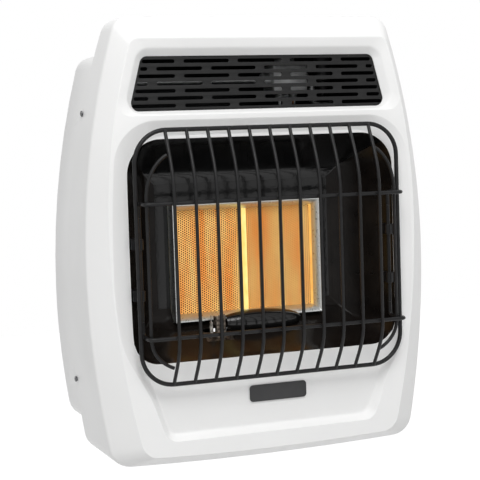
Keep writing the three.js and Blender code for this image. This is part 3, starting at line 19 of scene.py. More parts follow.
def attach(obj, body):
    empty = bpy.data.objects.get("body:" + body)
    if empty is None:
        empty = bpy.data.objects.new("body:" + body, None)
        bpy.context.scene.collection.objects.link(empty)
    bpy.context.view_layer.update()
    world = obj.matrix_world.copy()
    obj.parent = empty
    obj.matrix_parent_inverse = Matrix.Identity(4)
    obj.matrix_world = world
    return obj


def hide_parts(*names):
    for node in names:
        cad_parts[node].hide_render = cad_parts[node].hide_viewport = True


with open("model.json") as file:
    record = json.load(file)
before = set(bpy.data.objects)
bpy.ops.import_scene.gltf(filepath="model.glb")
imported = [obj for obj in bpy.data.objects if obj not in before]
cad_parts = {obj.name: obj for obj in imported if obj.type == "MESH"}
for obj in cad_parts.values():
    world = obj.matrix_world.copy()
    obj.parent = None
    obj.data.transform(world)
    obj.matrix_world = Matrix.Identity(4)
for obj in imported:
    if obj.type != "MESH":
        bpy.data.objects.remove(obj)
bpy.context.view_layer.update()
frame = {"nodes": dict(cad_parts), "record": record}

# %% [markdown]
# The camera stands a little to the left of the heater and a little above it, at the
# angle of the product photograph. A long lens keeps the sides almost parallel. Its turn
# is given as three angles, and the last one is the small tilt of the picture.

# %% Camera
YAW, PITCH, ROLL = math.radians(21.303), math.radians(4.375), math.radians(-1.884)
CAMERA_AT, LENS = (-0.6013, -1.64605, -0.0412), 103.44
ahead = Vector((math.sin(YAW) * math.cos(PITCH), math.cos(YAW) * math.cos(PITCH),
                -math.sin(PITCH)))
level = Vector((math.cos(YAW), -math.sin(YAW), 0))
upward = level.cross(ahead)
side = level * math.cos(ROLL) + upward * math.sin(ROLL)
top = upward * math.cos(ROLL) - level * math.sin(ROLL)
camera = bpy.data.objects.new("camera", bpy.data.cameras.new("camera"))
camera.data.sensor_width = 36
camera.data.lens = LENS
camera.data.clip_end = 50
camera.matrix_world = (Matrix.Translation(CAMERA_AT)
                       @ Matrix((side, top, -ahead)).transposed().to_4x4())
bpy.context.scene.collection.objects.link(camera)
bpy.context.scene.camera = camera
bpy.context.scene.view_settings.view_transform = "Standard"
print("camera at", [round(x, 3) for x in camera.location], "lens", camera.data.lens)

# %% [markdown]
# ## Materials by hand, in code
# Each finish is one material with one Principled shader, and small networks that change
# its colour, its roughness and its relief from place to place. All of them read the
# object's own coordinates in metres, so a scale of 1000 means marks a millimetre wide.
#
# These helpers add a node and join it up in one line. `coat` makes most of the finishes:
# each of its three grains is given by a scale, a detail and the values between which the
# colour, the roughness or the relief moves.

# %% Helpers for materials
finishes = {}


def finish(name, color, roughness, metallic=0.0):
    """a new material: hands back its nodes and its surface"""
    m = bpy.data.materials.new(name)
    m.use_nodes = True
    finishes[name] = m
    face = m.node_tree.nodes["Principled BSDF"]
    face.inputs["Base Color"].default_value = (*color, 1)
    face.inputs["Roughness"].default_value = roughness
    face.inputs["Metallic"].default_value = metallic
    return m.node_tree, face


def add(nt, kind, ins=None, **settings):
    """adds a node, sets it, and links or sets its inputs"""
    n = nt.nodes.new("ShaderNode" + kind)
    for key, value in settings.items():
        setattr(n, key, value)
    for key, value in (ins or {}).items():
        if isinstance(value, bpy.types.NodeSocket):
            nt.links.new(value, n.inputs[key])
        else:
            n.inputs[key].default_value = value
    return n


def calc(nt, operation, *values):
    """one step of arithmetic"""
    return add(nt, "Math", dict(enumerate(values)), operation=operation).outputs[0]


def place(nt, scale=(1, 1, 1), shift=(0, 0, 0)):
    """the object's own coordinates, stretched and shifted"""
    here = add(nt, "TexCoord").outputs["Object"]
    return add(nt, "Mapping", {"Vector": here, "Scale": scale, "Location": shift}).outputs[0]


def grain(nt, scale, detail, stretch=(1, 1, 1)):
    noise = add(nt, "TexNoise", {"Vector": place(nt, stretch), "Scale": scale, "Detail": detail})
    return noise.outputs["Fac"]


def cells(nt, scale):
    """one random grey for each cell of a crystal pattern"""
    n = add(nt, "TexVoronoi", {"Vector": place(nt), "Scale": scale})
    return add(nt, "SeparateColor", {"Color": n.outputs["Color"]}).outputs[0]


def between(nt, value, low, high, start=0.3, end=0.7):
    return add(nt, "MapRange", {"Value": value, "From Min": start, "From Max": end,
                                "To Min": low, "To Max": high}).outputs[0]


def tint(nt, value, dark, light, start=0.3, end=0.7):
    r = add(nt, "ValToRGB", {"Fac": value})
    for stop, position, color in zip(r.color_ramp.elements, (start, end), (dark, light)):
        stop.position, stop.color = position, (*color, 1)
    return r.outputs[0]


def relief(nt, face, height, strength, depth):
    b = add(nt, "Bump", {"Height": height, "Strength": strength, "Distance": depth})
    nt.links.new(b.outputs[0], face.inputs["Normal"])


def coat(name, tone, gloss, bump=None, metallic=0.0, specular=0.5):
    """a finish whose colour, roughness and relief each follow a grain of their own"""
    nt, face = finish(name, tone[3], gloss[3], metallic)
    face.inputs["Specular IOR Level"].default_value = specular
    scale, detail, *shades = tone
    nt.links.new(tint(nt, grain(nt, scale, detail), *shades), face.inputs["Base Color"])
    scale, detail, low, high = gloss
    nt.links.new(between(nt, grain(nt, scale, detail), low, high), face.inputs["Roughness"])
    if bump:
        scale, detail, strength, depth, *stretch = bump
        relief(nt, face, grain(nt, scale, detail, *stretch), strength, depth)

# %% [markdown]
# ## Light
# A product photograph is lit by large soft boxes. The world gives the even part of the
# light, brighter from above than from below. One broad lamp in front and above makes the
# top bevel white and leaves the flanges and the foot a little grey. What the camera and
# shiny surfaces see of the world is plain white.

# %% World and lamp
WORLD_LOW, WORLD_HIGH = 0.46, 0.59
LAMP_AT, LAMP_AIM, LAMP_SIZE, LAMP_WATTS = (-0.42, -1.6, 1.4), (0, -0.15, -0.15), 1.2, 30.5
world = bpy.data.worlds.new("studio")
bpy.context.scene.world = world
world.use_nodes = True
nt = world.node_tree
sky = nt.nodes["Background"]
sky.inputs["Color"].default_value = (1, 1, 1, 1)
where = add(nt, "TexCoord").outputs["Generated"]
height = add(nt, "SeparateXYZ", {0: where}).outputs["Z"]
fade = between(nt, height, WORLD_LOW, WORLD_HIGH, -0.6, 0.9)
nt.links.new(fade, sky.inputs["Strength"])
white = add(nt, "Background", {"Color": (1, 1, 1, 1)})


def seen_ray(nt):
    """1 for the rays of the camera, of reflections and of glass, and 0 for all others"""
    ray = add(nt, "LightPath").outputs
    shiny = calc(nt, "MAXIMUM", ray["Is Glossy Ray"], ray["Is Transmission Ray"])
    return calc(nt, "MAXIMUM", ray["Is Camera Ray"], shiny)


mix = add(nt, "MixShader", {0: seen_ray(nt), 1: sky.outputs[0], 2: white.outputs[0]})
nt.links.new(mix.outputs[0], nt.nodes["World Output"].inputs[0])
light = bpy.data.lights.new("front_box", "AREA")
light.size, light.energy = LAMP_SIZE, LAMP_WATTS
lamp = bpy.data.objects.new("front_box", light)
lamp.location = LAMP_AT
lamp.rotation_euler = (Vector(LAMP_AIM) - Vector(LAMP_AT)).to_track_quat("-Z", "Y").to_euler()
bpy.context.scene.collection.objects.link(lamp)
print("lamp", LAMP_WATTS, "W")

# %% [markdown]
# The floor lies well below the heater, which hangs on a wall. It is pale and plain, and
# it keeps the soft shadow. To the camera and in reflections it is lifted a little, so
# that it reads as the white ground of the photograph.

# %% Floor
FLOOR_Z, FLOOR_GREY, FLOOR_LIFT = -0.85, 0.7, 0.62
bpy.ops.mesh.primitive_plane_add(size=8, location=(0, 0, FLOOR_Z))
floor = bpy.context.object
floor.name = "floor"
nt, base = finish("pale_floor", (FLOOR_GREY, FLOOR_GREY, FLOOR_GREY), 0.9)
lift = calc(nt, "MULTIPLY", seen_ray(nt), FLOOR_LIFT)
glow = add(nt, "Emission", {"Strength": lift})
both = add(nt, "AddShader", {0: base.outputs[0], 1: glow.outputs[0]})
nt.links.new(both.outputs[0], nt.nodes["Material Output"].inputs[0])
floor.data.materials.append(finishes["pale_floor"])
print("floor at z", floor.location.z)

# %% [markdown]
# ## Working by hand, in code
# An operator acts on all that is selected, so each one starts from an empty selection.
# The helpers below are the few moves that every piece needs: pick one object, clean its
# mesh, run one modifier and apply it, and round the shading of gentle edges only.

# %% Helpers for meshes
MM = 0.001


def pick(o):
    """makes o the only selected object"""
    if bpy.context.object and bpy.context.object.mode != "OBJECT":
        bpy.ops.object.mode_set(mode="OBJECT")
    bpy.ops.object.select_all(action="DESELECT")
    o.select_set(True)
    bpy.context.view_layer.objects.active = o
    return o


def clean(o, turn_out=False):
    """merges doubled points, and turns a closed shape's faces outwards"""
    pick(o)
    bpy.ops.object.mode_set(mode="EDIT")
    bpy.ops.mesh.select_all(action="SELECT")
    bpy.ops.mesh.remove_doubles(threshold=1e-6)
    if turn_out:
        bpy.ops.mesh.normals_make_consistent(inside=False)
    bpy.ops.object.mode_set(mode="OBJECT")
    return o


def modify(o, kind, **settings):
    """adds one modifier, sets it and applies it"""
    pick(o)
    m = o.modifiers.new(kind.lower(), kind)
    for key, value in settings.items():
        setattr(m, key, value)
    bpy.ops.object.modifier_apply(modifier=m.name)
    return o


def smooth(o, angle=32):
    """rounds the shading where faces meet at a gentle angle"""
    pick(o)
    bpy.ops.object.shade_smooth_by_angle(angle=math.radians(angle))
    return o


def flip(o):
    """turns every face of o round"""
    pick(o)
    bpy.ops.object.mode_set(mode="EDIT")
    bpy.ops.mesh.select_all(action="SELECT")
    bpy.ops.mesh.flip_normals()
    bpy.ops.object.mode_set(mode="OBJECT")


def cut(o, cutter):
    """cuts another mesh out of o, and the other mesh is used up"""
    modify(o, "BOOLEAN", object=cutter, operation="DIFFERENCE", solver="EXACT")
    bpy.data.objects.remove(cutter)
    return o


def block(x0, x1, y0, y1, z0, z1):
    """a plain box in millimetres, to cut with or to start a small part from"""
    bpy.ops.mesh.primitive_cube_add(size=1)
    o = bpy.context.object
    for v in o.data.vertices:
        v.co = Vector((x0 if v.co.x < 0 else x1, y0 if v.co.y < 0 else y1,
                       z0 if v.co.z < 0 else z1)) * MM
    return o


def rod(r, tall, spot, lie=0, sides=24):
    """a cylinder in millimetres, upright, or turned about y by an angle"""
    bpy.ops.mesh.primitive_cylinder_add(vertices=sides, radius=r * MM, depth=tall * MM,
                                        location=[x * MM for x in spot], rotation=(0, lie, 0))
    return settle(bpy.context.object)


def ball(spot, size, segments, rings):
    """an egg shape in millimetres"""
    bpy.ops.mesh.primitive_uv_sphere_add(segments=segments, ring_count=rings, radius=1,
        location=[x * MM for x in spot], scale=[x * MM for x in size])
    return settle(bpy.context.object)


def settle(o):
    """puts the object's own frame at the origin, with its place in its mesh"""
    pick(o)
    bpy.ops.object.transform_apply(location=True, rotation=True, scale=True)
    return o


def join(o, others):
    """makes the other meshes a part of o"""
    pick(o)
    for other in others:
        other.select_set(True)
    bpy.ops.object.join()
    return o


# %% [markdown]
# The pressed sheets of this heater all follow one family of outlines: a level top, sides
# that bulge, rounded corners and a foot that bows down a little. One function draws any
# of them from a few sizes, and always with the same number of points. Because the points
# of two outlines match, a skin can run straight from one to the next.

# %% Outlines
EDGE, TURN, SIDE = 6, 12, 18
STRAIGHT = 1e6  # a radius so long that its arc is a straight line
SAG_REACH, SAG_FADE = 0.85, 80


def sagitta(d, r):
    """how far an arc of radius r has turned inwards at distance d"""
    return 0 if d <= 0 else r - math.sqrt(max(r * r - d * d, 0))


def half_width(o, z):
    """half width of an outline at height z, in millimetres"""
    lean = o.get("lean", 0) * (z - o["waist"])
    pinch = 0
    if "pinch" in o:
        start, end, by = o["pinch"]
        t = min(1, max(0, (start - z) / (start - end)))
        pinch = by * t * t * (3 - 2 * t)
    bulge = sagitta(z - o["waist"], o["up"]) + sagitta(o["waist"] - z, o["down"])
    return o["half"] + lean - pinch - bulge


def corner(o, edge, r, sign):
    """the end of a corner's arc on the side, the arc's middle, and the tilt of the side"""
    z = edge - sign * r
    slope = 0
    for _ in range(8):
        slope = (half_width(o, z + 0.05) - half_width(o, z - 0.05)) / 0.1
        z = edge - sign * r - r * slope / math.hypot(1, slope)
    tilt = math.atan2(-slope, 1)
    return z, half_width(o, z) - r * math.cos(tilt), edge - sign * r, tilt


def outline(o):
    """closed row of (x, z) points, clockwise from the middle of the top"""
    tz, tx, tcz, tt = corner(o, o["top"], o["corner_top"], 1)
    bz, bx, bcz, bt = corner(o, o["bottom"], o["corner_bottom"], -1)
    right = [(tx * i / EDGE, o["top"]) for i in range(EDGE)]
    for i in range(TURN + 1):
        a = math.pi / 2 + (tt - math.pi / 2) * i / TURN
        right.append((tx + o["corner_top"] * math.cos(a), tcz + o["corner_top"] * math.sin(a)))
    zs = [tz + (o["waist"] - tz) * i / SIDE for i in range(1, SIDE)]
    zs += [o["waist"] + (bz - o["waist"]) * i / SIDE for i in range(SIDE)]
    right += [(half_width(o, z), z) for z in zs]
    for i in range(TURN + 1):
        a = bt + (-math.pi / 2 - bt) * i / TURN
        right.append((bx + o["corner_bottom"] * math.cos(a),
                      bcz + o["corner_bottom"] * math.sin(a)))
    right += [(bx * (1 - i / EDGE), o["bottom"]) for i in range(1, EDGE)] + [(0, o["bottom"])]
    row = right + [(-x, z) for x, z in reversed(right[1:-1])]
    if not o.get("sag"):
        return row
    reach = o["half"] * SAG_REACH
    return [(x, z - o["sag"] * max(0, 1 - (z - o["bottom"]) / SAG_FADE)
             * (1 - min(1, (x / reach) ** 2))) for x, z in row]


def inset(o, top, sides=None, foot=None):
    """the same outline drawn in, or out where the amount is negative"""
    sides = top if sides is None else sides
    foot = top if foot is None else foot
    return {**o, "top": o["top"] - top, "bottom": o["bottom"] + foot, "half": o["half"] - sides,
            "corner_top": max(2, o["corner_top"] - min(top, sides)),
            "corner_bottom": max(2, o["corner_bottom"] - min(foot, sides))}


def ring(o, y):
    """an outline at depth y, or at a depth that changes with the height"""
    return np.array([(x, y(z) if callable(y) else y, z) for x, z in outline(o)], float)


COUNT = len(outline(dict(top=1, bottom=-1, half=1, waist=0, up=STRAIGHT, down=STRAIGHT,
                         corner_top=0.1, corner_bottom=0.1)))
print("points in an outline:", COUNT)

# %% [markdown]
# A press rounds every fold, so a skin never turns sharply. `soften` takes the outlines of
# a skin in order and swaps each named one for a short bend that starts a little before
# the fold and ends a little after it. `wrap` then takes a flat grid, as a sheet of paper:
# its columns go round the outline, its rows go from one outline to the next, and the two
# ends are merged where they meet.

# %% Pressed skins
def soften(rings, bends, steps=5):
    """swaps ring k for a bend that reaches back and on by the given millimetres"""
    out = []
    for k, here in enumerate(rings):
        if k not in bends:
            out.append(here)
            continue
        back, on = bends[k]
        before, after = rings[k - 1] - here, rings[k + 1] - here
        b = here + before * np.minimum(0.49, back / np.linalg.norm(before, axis=1))[:, None]
        a = here + after * np.minimum(0.49, on / np.linalg.norm(after, axis=1))[:, None]
        for i in range(steps + 1):
            t = i / steps
            out.append(b * (1 - t) ** 2 + here * 2 * t * (1 - t) + a * t * t)
    return out


def wrap(name, rings, first=0, last=None):
    """a grid whose rows follow the rings, all round or from one column to another"""
    last = COUNT if last is None else last
    columns = [c % COUNT for c in range(first, last + 1)]
    cols, rows = len(columns) - 1, len(rings) - 1
    bpy.ops.mesh.primitive_grid_add(x_subdivisions=cols, y_subdivisions=rows, size=2)
    o = bpy.context.object
    o.name = o.data.name = name
    for v in o.data.vertices:
        c = round((v.co.x + 1) / 2 * cols)
        k = round((v.co.y + 1) / 2 * rows)
        v.co = Vector(rings[k][columns[c]]) * MM
    return clean(o)


def weld(name, *parts):
    """joins meshes into one and merges the points that they share"""
    join(parts[0], parts[1:])
    parts[0].name = parts[0].data.name = name
    return clean(parts[0])


def front(o):
    """turns an open sheet so that most of it faces the room"""
    total = sum((p.normal * p.area for p in o.data.polygons), Vector())
    if total.y > 0:
        flip(o)
    return o


def report(o):
    """prints what has been made"""
    size = [round(1000 * d, 1) for d in o.dimensions]
    print(o.name, "-", len(o.data.polygons), "faces,", size, "mm")


# %% [markdown]
# ## The front panel
# One white enamelled sheet, a millimetre thick, makes the whole front. Its side flange
# runs back over the cabinet, deeper at the foot than at the top. In front of the flange a
# wide bevel leads to a soft crest. Inside the crest the sheet dips twice: once for the
# louver, in a shallow lip and a steep wall, and once in a wide dish round the fire.
#
# The panel could be cut from a block, but then every fold would be sharp. Here three
# skins are wrapped from outlines, one for each slope, and the flat crest between them is
# filled. A solidify modifier then gives the skin its thickness on the inside.
#
# At its sides the dish is no wider than the fire opening, so there the slope stops short
# at the opening's edge. Each point of the foot of the slope is drawn back along the slope
# until it is clear of the opening, and the floor then runs from it to the nearest point
# of the opening, so the floor never folds over itself.
#
# Each outline is given by its top, its foot and its greatest half width, by the height of
# that width (the waist), and by the radii of the bulge above and below it. A `pinch` draws
# the sides in between two heights. All sizes are in millimetres.

# %% Front panel
SHEET, FACE, EDGE_Y, BACK_TOP, BACK_SLOPE = 1.0, -194.5, -170.5, -128, 66 / 504
LIP_DEPTH, RECESS_DEPTH, DISH_DEPTH, HOLLOW, HOLLOW_TOP, HOLLOW_TALL = 2.5, 10, 8, 4.5, -343, 34
SCREW_ZS, SCREW_IN, SCREW_HOLE_R = (-12, -321), 6.5, 2.2
PANEL = dict(top=93, bottom=-411, half=210, waist=-188, up=900, down=1090,
             corner_top=20, corner_bottom=25, sag=4)
CREST = dict(top=68, bottom=-398.5, half=188, waist=-145, up=715, down=1030,
             corner_top=13, corner_bottom=20, sag=4)
DISH = dict(top=-23, bottom=-383, half=184.5, waist=-190, up=1500, down=500,
            corner_top=50, corner_bottom=17, pinch=(-262, -345, 18))
DISH_FLOOR = {**inset(DISH, 17, 20, 5.5),
              "corner_top": 44.3, "corner_bottom": 14, "pinch": (-262, -345, 5)}
FIRE = dict(top=-43.5, bottom=-295, half=163.5, waist=-169.25, up=STRAIGHT, down=STRAIGHT,
            corner_top=40, corner_bottom=31)
LOUVER = dict(top=48, bottom=-12.5, half=149.5, waist=17.75, up=STRAIGHT, down=STRAIGHT,
              corner_top=9, corner_bottom=9, lean=-16 / 60.5)
LIP = {**inset(CREST, 1.5), "bottom": -17.5, "corner_bottom": 14, "waist": LOUVER["waist"],
       "sag": 0, "down": STRAIGHT}
LIP["half"] = half_width(inset(CREST, 1.5), LIP["waist"])
LIP["lean"] = (half_width(CREST, LIP["waist"] + 1) - half_width(CREST, LIP["waist"] - 1)) / 2


def flange_back(z):
    """the depth of the flange's rear edge"""
    return BACK_TOP + BACK_SLOPE * (PANEL["top"] - z)


shell = wrap("front_skin", soften([
    ring(PANEL, flange_back), ring(PANEL, EDGE_Y),
    ring(CREST, FACE), ring(inset(CREST, 0.4), FACE),
], {1: (3.5, 3.5), 2: (5.0, 0.35)}, steps=7))
recess = wrap("louver_skin", soften([
    ring(inset(LIP, -0.25), FACE), ring(LIP, FACE),
    ring(inset(LOUVER, -8.5, -8.5, -3), FACE + LIP_DEPTH),
    ring(LOUVER, FACE + RECESS_DEPTH - 0.8), ring(LOUVER, FACE + RECESS_DEPTH),
], {1: (0.2, 3), 2: (2.2, 2.2), 3: (1.2, 0.3)}))
edge, foot = ring(DISH, FACE), ring(DISH_FLOOR, FACE + DISH_DEPTH)
window = ring(FIRE, FACE + DISH_DEPTH)
mouth = window.copy()


def nearest(p, rim):
    """the point of a closed rim that is nearest to (x, z), and whether (x, z) is outside it"""
    a, b = rim[:, [0, 2]], np.roll(rim[:, [0, 2]], -1, axis=0)
    t = np.clip(((p - a) * (b - a)).sum(1) / ((b - a) ** 2).sum(1), 0, 1)
    on = a + (b - a) * t[:, None]
    crossed = (a[:, 1] > p[1]) != (b[:, 1] > p[1])
    at = a[crossed, 0] + (p[1] - a[crossed, 1]) / (b - a)[crossed, 1] * (b - a)[crossed, 0]
    return on[np.linalg.norm(on - p, axis=1).argmin()], (at > p[0]).sum() % 2 == 0


CLEAR = 0.5
for i in range(COUNT):
    for t in np.linspace(1, 0, 51):
        p = edge[i] + (foot[i] - edge[i]) * t
        on, outside = nearest(p[[0, 2]], window)
        if outside and np.linalg.norm(on - p[[0, 2]]) > CLEAR:
            break
    foot[i], mouth[i] = p, (on[0], p[1], on[1])


def floor_at(t):
    """the floor between foot and mouth, hollowed just above the ledge"""
    r = foot + (mouth - foot) * t
    r[:, 1] += HOLLOW * np.clip((HOLLOW_TOP - r[:, 2]) / HOLLOW_TALL, 0, 1) ** 2
    return r


dish = wrap("dish_skin", soften([
    ring(inset(DISH, -0.8), FACE), edge, *[floor_at(t) for t in (0, 0.06, 0.14, 0.24, 0.4)],
    mouth, mouth + [0, 0.8, 0],
], {1: (0.7, 4), 2: (4, 4), 7: (0.8, 0.3)}, steps=6))
panel = weld("front_panel_sheet", shell, recess, dish)
bpy.ops.object.mode_set(mode="EDIT")
bpy.ops.mesh.select_mode(type="EDGE")
bpy.ops.mesh.select_all(action="DESELECT")
bpy.ops.mesh.select_non_manifold(extend=False, use_wire=False, use_boundary=True,
                                 use_multi_face=False, use_non_contiguous=False, use_verts=False)
bpy.ops.object.mode_set(mode="OBJECT")
for e in panel.data.edges:
    a, b = (panel.data.vertices[i].co.y for i in e.vertices)
    e.select = e.select and abs(a - FACE * MM) < 1e-6 and abs(b - FACE * MM) < 1e-6
bpy.ops.object.mode_set(mode="EDIT")
bpy.ops.mesh.fill(use_beauty=True)
bpy.ops.mesh.select_all(action="SELECT")
bpy.ops.mesh.normals_make_consistent(inside=False)
bpy.ops.object.mode_set(mode="OBJECT")
front(panel)
for skin in ("outside", "inside"):
    panel.data.materials.append(bpy.data.materials.new(skin))
modify(panel, "SOLIDIFY", thickness=SHEET * MM, offset=-1, use_even_offset=False,
       material_offset=1)
for z in SCREW_ZS:
    for s in (-1, 1):
        spot = (s * half_width(PANEL, z), flange_back(z) - SCREW_IN, z)
        cut(panel, rod(SCREW_HOLE_R, 30, spot, math.pi / 2))
smooth(panel, 28)
report(panel)

# %% [markdown]
# ## The firebox
# Behind the opening, four curved walls run back to a flat plate. Each wall is steepest
# at the rim and turns inwards towards the plate, so the glossy enamel gathers the light
# of the plaques. The curve is drawn through the points of the CAD model's wall, and the
# walls meet in the middle of each rounded corner.

# %% Firebox
RIM_Y, DEPTH, DRAW = -185.2, 69.4, 53
BURNER_PORT = (-94.3, 94.3, -138, -105, -258.3, -119.7)
PILOT_PORT = (-63, -29, -152.3, -132.3, -310, -260)
OUTWARD = {"top": (0, 0, 1), "right": (1, 0, 0), "bottom": (0, 0, -1), "left": (-1, 0, 0),
           "back": (0, 1, 0)}
WALL = [(0, 0), (.17, .075), (.375, .21), (.6, .385), (.79, .565), (.92, .72), (.98, .85), (1, 1)]


def through(points, steps):
    """a smooth line through the points, which stays on their side of each span"""
    p = np.array([points[0]] + list(points) + [points[-1]], float)
    out = []
    for i in range(1, len(p) - 2):
        for k in range(steps):
            t = k / steps
            a, b, c, d = p[i - 1], p[i], p[i + 1], p[i + 2]
            out.append(0.5 * (2 * b + (c - a) * t + (2 * a - 5 * b + 4 * c - d) * t * t
                              + (3 * b - a - 3 * c + d) * t ** 3))
    return out + [p[-2]]


curve = through([(DEPTH * d, DRAW * s) for d, s in WALL], 3)
cheek = [ring(inset(FIRE, -9), RIM_Y)]
cheek += [ring(inset(FIRE, max(0, s)), RIM_Y + d) for d, s in curve]
cheek = soften(cheek, {1: (0.8, 0.8)}, steps=2)
bend_top = EDGE + TURN // 2
bend_foot = EDGE + TURN + 2 * SIDE + TURN // 2
spans = {"top": (-bend_top, bend_top), "right": (bend_top, bend_foot),
         "bottom": (bend_foot, COUNT - bend_foot), "left": (COUNT - bend_foot, COUNT - bend_top)}
firebox = {}
for name, (first, last) in spans.items():
    o = wrap("firebox_wall_" + name, cheek, first, last)
    if sum(p.area * p.normal.dot(Vector(OUTWARD[name])) for p in o.data.polygons) > 0:
        flip(o)
    modify(o, "SOLIDIFY", thickness=SHEET * MM, offset=-1, use_even_offset=True)
    firebox[name] = o
bpy.ops.mesh.primitive_circle_add(vertices=COUNT, radius=1, fill_type="NGON")
plate = bpy.context.object
plate.name = plate.data.name = "firebox_plate"
rim = ring(inset(FIRE, DRAW + 0.1), RIM_Y + DEPTH)
for i, v in enumerate(plate.data.vertices):
    v.co = Vector(rim[i]) * MM
front(plate)
modify(plate, "SOLIDIFY", thickness=SHEET * MM, offset=-1)
firebox["back"] = plate
for name, o in firebox.items():
    cut(o, block(*BURNER_PORT))
    if name == "bottom":
        cut(o, block(*PILOT_PORT))
    smooth(o, 30)
    report(o)

# %% [markdown]
# ## The louver
# The louver is a flat plate behind its window, with seven rows of long slots, shifted by
# half a step in each second row as bricks are. A slotted plate is drawn quickest as one
# flat curve: the outer line and all the slots are splines of it, and the curve's own
# extrusion and bevel give the plate its thickness and its rounded edges.

# %% Louver
LOUVER_Y, LOUVER_THICK, LOUVER_EDGE = -184.0, 1.2, 0.25
SLOT_ROWS, SLOT_RISE, SLOT_STEP, SLOT_HALF, SLOT_R = 7, 8.2, 64.5, 27, 2.05
SLOT_MARGIN, SLOT_LEAST = 2.6, 6.6


def drawn(name, rows, closed, **settings):
    """a mesh made from a curve through rows of points in millimetres"""
    line = bpy.data.curves.new(name, "CURVE")
    for key, value in settings.items():
        setattr(line, key, value)
    for row in rows:
        s = line.splines.new("POLY")
        s.points.add(len(row) - 1)
        s.use_cyclic_u = closed
        for p, q in zip(s.points, row):
            p.co = (*[x * MM for x in q], 1)
    o = bpy.data.objects.new(name, line)
    bpy.context.scene.collection.objects.link(o)
    pick(o)
    bpy.ops.object.convert(target="MESH")
    o = bpy.context.object
    o.name = o.data.name = name
    return o


def flat_plate(name, rows, y, thick, soft):
    """a plate from closed rows of (x, z): the first is its outer line, the rest are holes"""
    o = drawn(name, [[(x, z, 0) for x, z in row] for row in rows], True, dimensions="2D",
              fill_mode="BOTH", extrude=(thick / 2 - soft) * MM, bevel_depth=soft * MM,
              bevel_resolution=1, offset=-soft * MM)
    o.location.y = (y + thick / 2) * MM
    o.rotation_euler.x = math.pi / 2
    return clean(settle(o), turn_out=True)


def slot_row(x0, x1, z, r, turn=8):
    """the outline of one slot with round ends"""
    quarter = math.pi / 2
    right = [(x1 - r + r * math.cos(a), z + r * math.sin(a))
             for a in np.linspace(quarter, -quarter, turn)]
    left = [(x0 + r + r * math.cos(a), z + r * math.sin(a))
            for a in np.linspace(-quarter, -3 * quarter, turn)]
    return right + left


rows = [outline(inset(LOUVER, -6))]
for k in range(SLOT_ROWS):
    z = LOUVER["waist"] - (k - SLOT_ROWS // 2) * SLOT_RISE
    end = half_width(LOUVER, z) - SLOT_MARGIN
    for n in range(-4, 5):
        middle = (k % 2) * SLOT_STEP / 2 + n * SLOT_STEP
        x0, x1 = max(-end, middle - SLOT_HALF), min(end, middle + SLOT_HALF)
        if x1 - x0 > SLOT_LEAST:
            rows.append(slot_row(x0, x1, z, SLOT_R))
louver = smooth(flat_plate("louver_plate", rows, LOUVER_Y, LOUVER_THICK, LOUVER_EDGE), 40)
print("slots:", len(rows) - 1)
report(louver)

# %% [markdown]
# ## The wire guard
# The guard is bent from round steel wire and spot welded. A wire is a line with a round
# section, so each one is drawn as a curve with a round bevel and then made a mesh. The
# upright wires leave the rim, bow out, run straight down and bow back. At each crossing
# the weld has squeezed the hot metal into a small flat bead, which is added as a part of
# the wire.

# %% Guard wires
RIM_DEPTH, GUARD_Y, WIRE_R, RIM_R, BAR_R = -205.5, -231, 2.0, 2.5, 2.25
RIM_TOP, RIM_BOTTOM, RIM_HALF, RIM_CORNER = -33.5, -315.6, 160, 37
BAR_ZS, UPRIGHTS, UPRIGHT_STEP = (-113.6, -261), 11, 24.8
BAR_Y = GUARD_Y + WIRE_R + BAR_R + 0.2
HOOP_X, HOOP_Y, HOOP_TALL, RUN_ZS = 153.5, -193.5, 16, (-129.9, -244.7)
CLIP_ZS, CLIP_HALF, EAR_R, EAR_TALL = (-158.6, -216), 5.9, 3.8, 12
ARM_IN, ARM_OUT, ARM_OUT_BACK, ARM_FRONT, ARM_BACK = 153, 163, 158.6, -192.5, -170.5
# the bends of an upright as (y, z), and those of a side wire as (x, y, z)
BOW_TOP = [(RIM_DEPTH - 1.2, RIM_TOP - 1), (-214.5, -54.8), (GUARD_Y, -75.3), (GUARD_Y, -109.5)]
BOW_FOOT = [(GUARD_Y, -261.6), (GUARD_Y, -282.1), (-218, -296.7),
            (RIM_DEPTH - 1.2, RIM_BOTTOM + 1)]
SIDE_TOP = [(126.3, -216.5, -60.9), (136.2, -215, -66.2), (150.9, -215, -81.4),
            (150.9, -215, -109.5)]
SIDE_FOOT = [(150.9, -215, -261.6), (150.9, -215, -281.6), (136.2, -215, -291.8),
             (126.3, -216.5, -295.6)]


def bezier(a, b, c, d, steps):
    """a curve from a to d that starts towards b and ends from c"""
    a, b, c, d = (np.array(p, float) for p in (a, b, c, d))
    return [a * (1 - t) ** 3 + 3 * b * t * (1 - t) ** 2 + 3 * c * t * t * (1 - t) + d * t ** 3
            for t in np.linspace(0, 1, steps + 1)]


def rounded(points, bend, steps=8):
    """straight runs through the points, with every inner corner rounded"""
    p = [np.array(q, float) for q in points]
    out = [p[0]]
    for i in range(1, len(p) - 1):
        back, on = p[i - 1] - p[i], p[i + 1] - p[i]
        reach = min(bend, np.linalg.norm(back) / 2.1, np.linalg.norm(on) / 2.1)
        a = p[i] + back / np.linalg.norm(back) * reach
        b = p[i] + on / np.linalg.norm(on) * reach
        out += [a * (1 - t) ** 2 + p[i] * 2 * t * (1 - t) + b * t * t
                for t in np.linspace(0, 1, steps + 1)]
    return out + [p[-1]]


def bar(name, points, r, closed=False):
    """a round wire along points in millimetres"""
    o = drawn(name, [points], closed, dimensions="3D", bevel_depth=r * MM, bevel_resolution=4,
              use_fill_caps=not closed)
    return smooth(clean(o, turn_out=True), 50)


def beads(o, spots, size):
    """adds weld beads at the spots, each a ball pressed flat along y"""
    return join(o, [smooth(ball(spot, size, 10, 6), 180) for spot in spots])


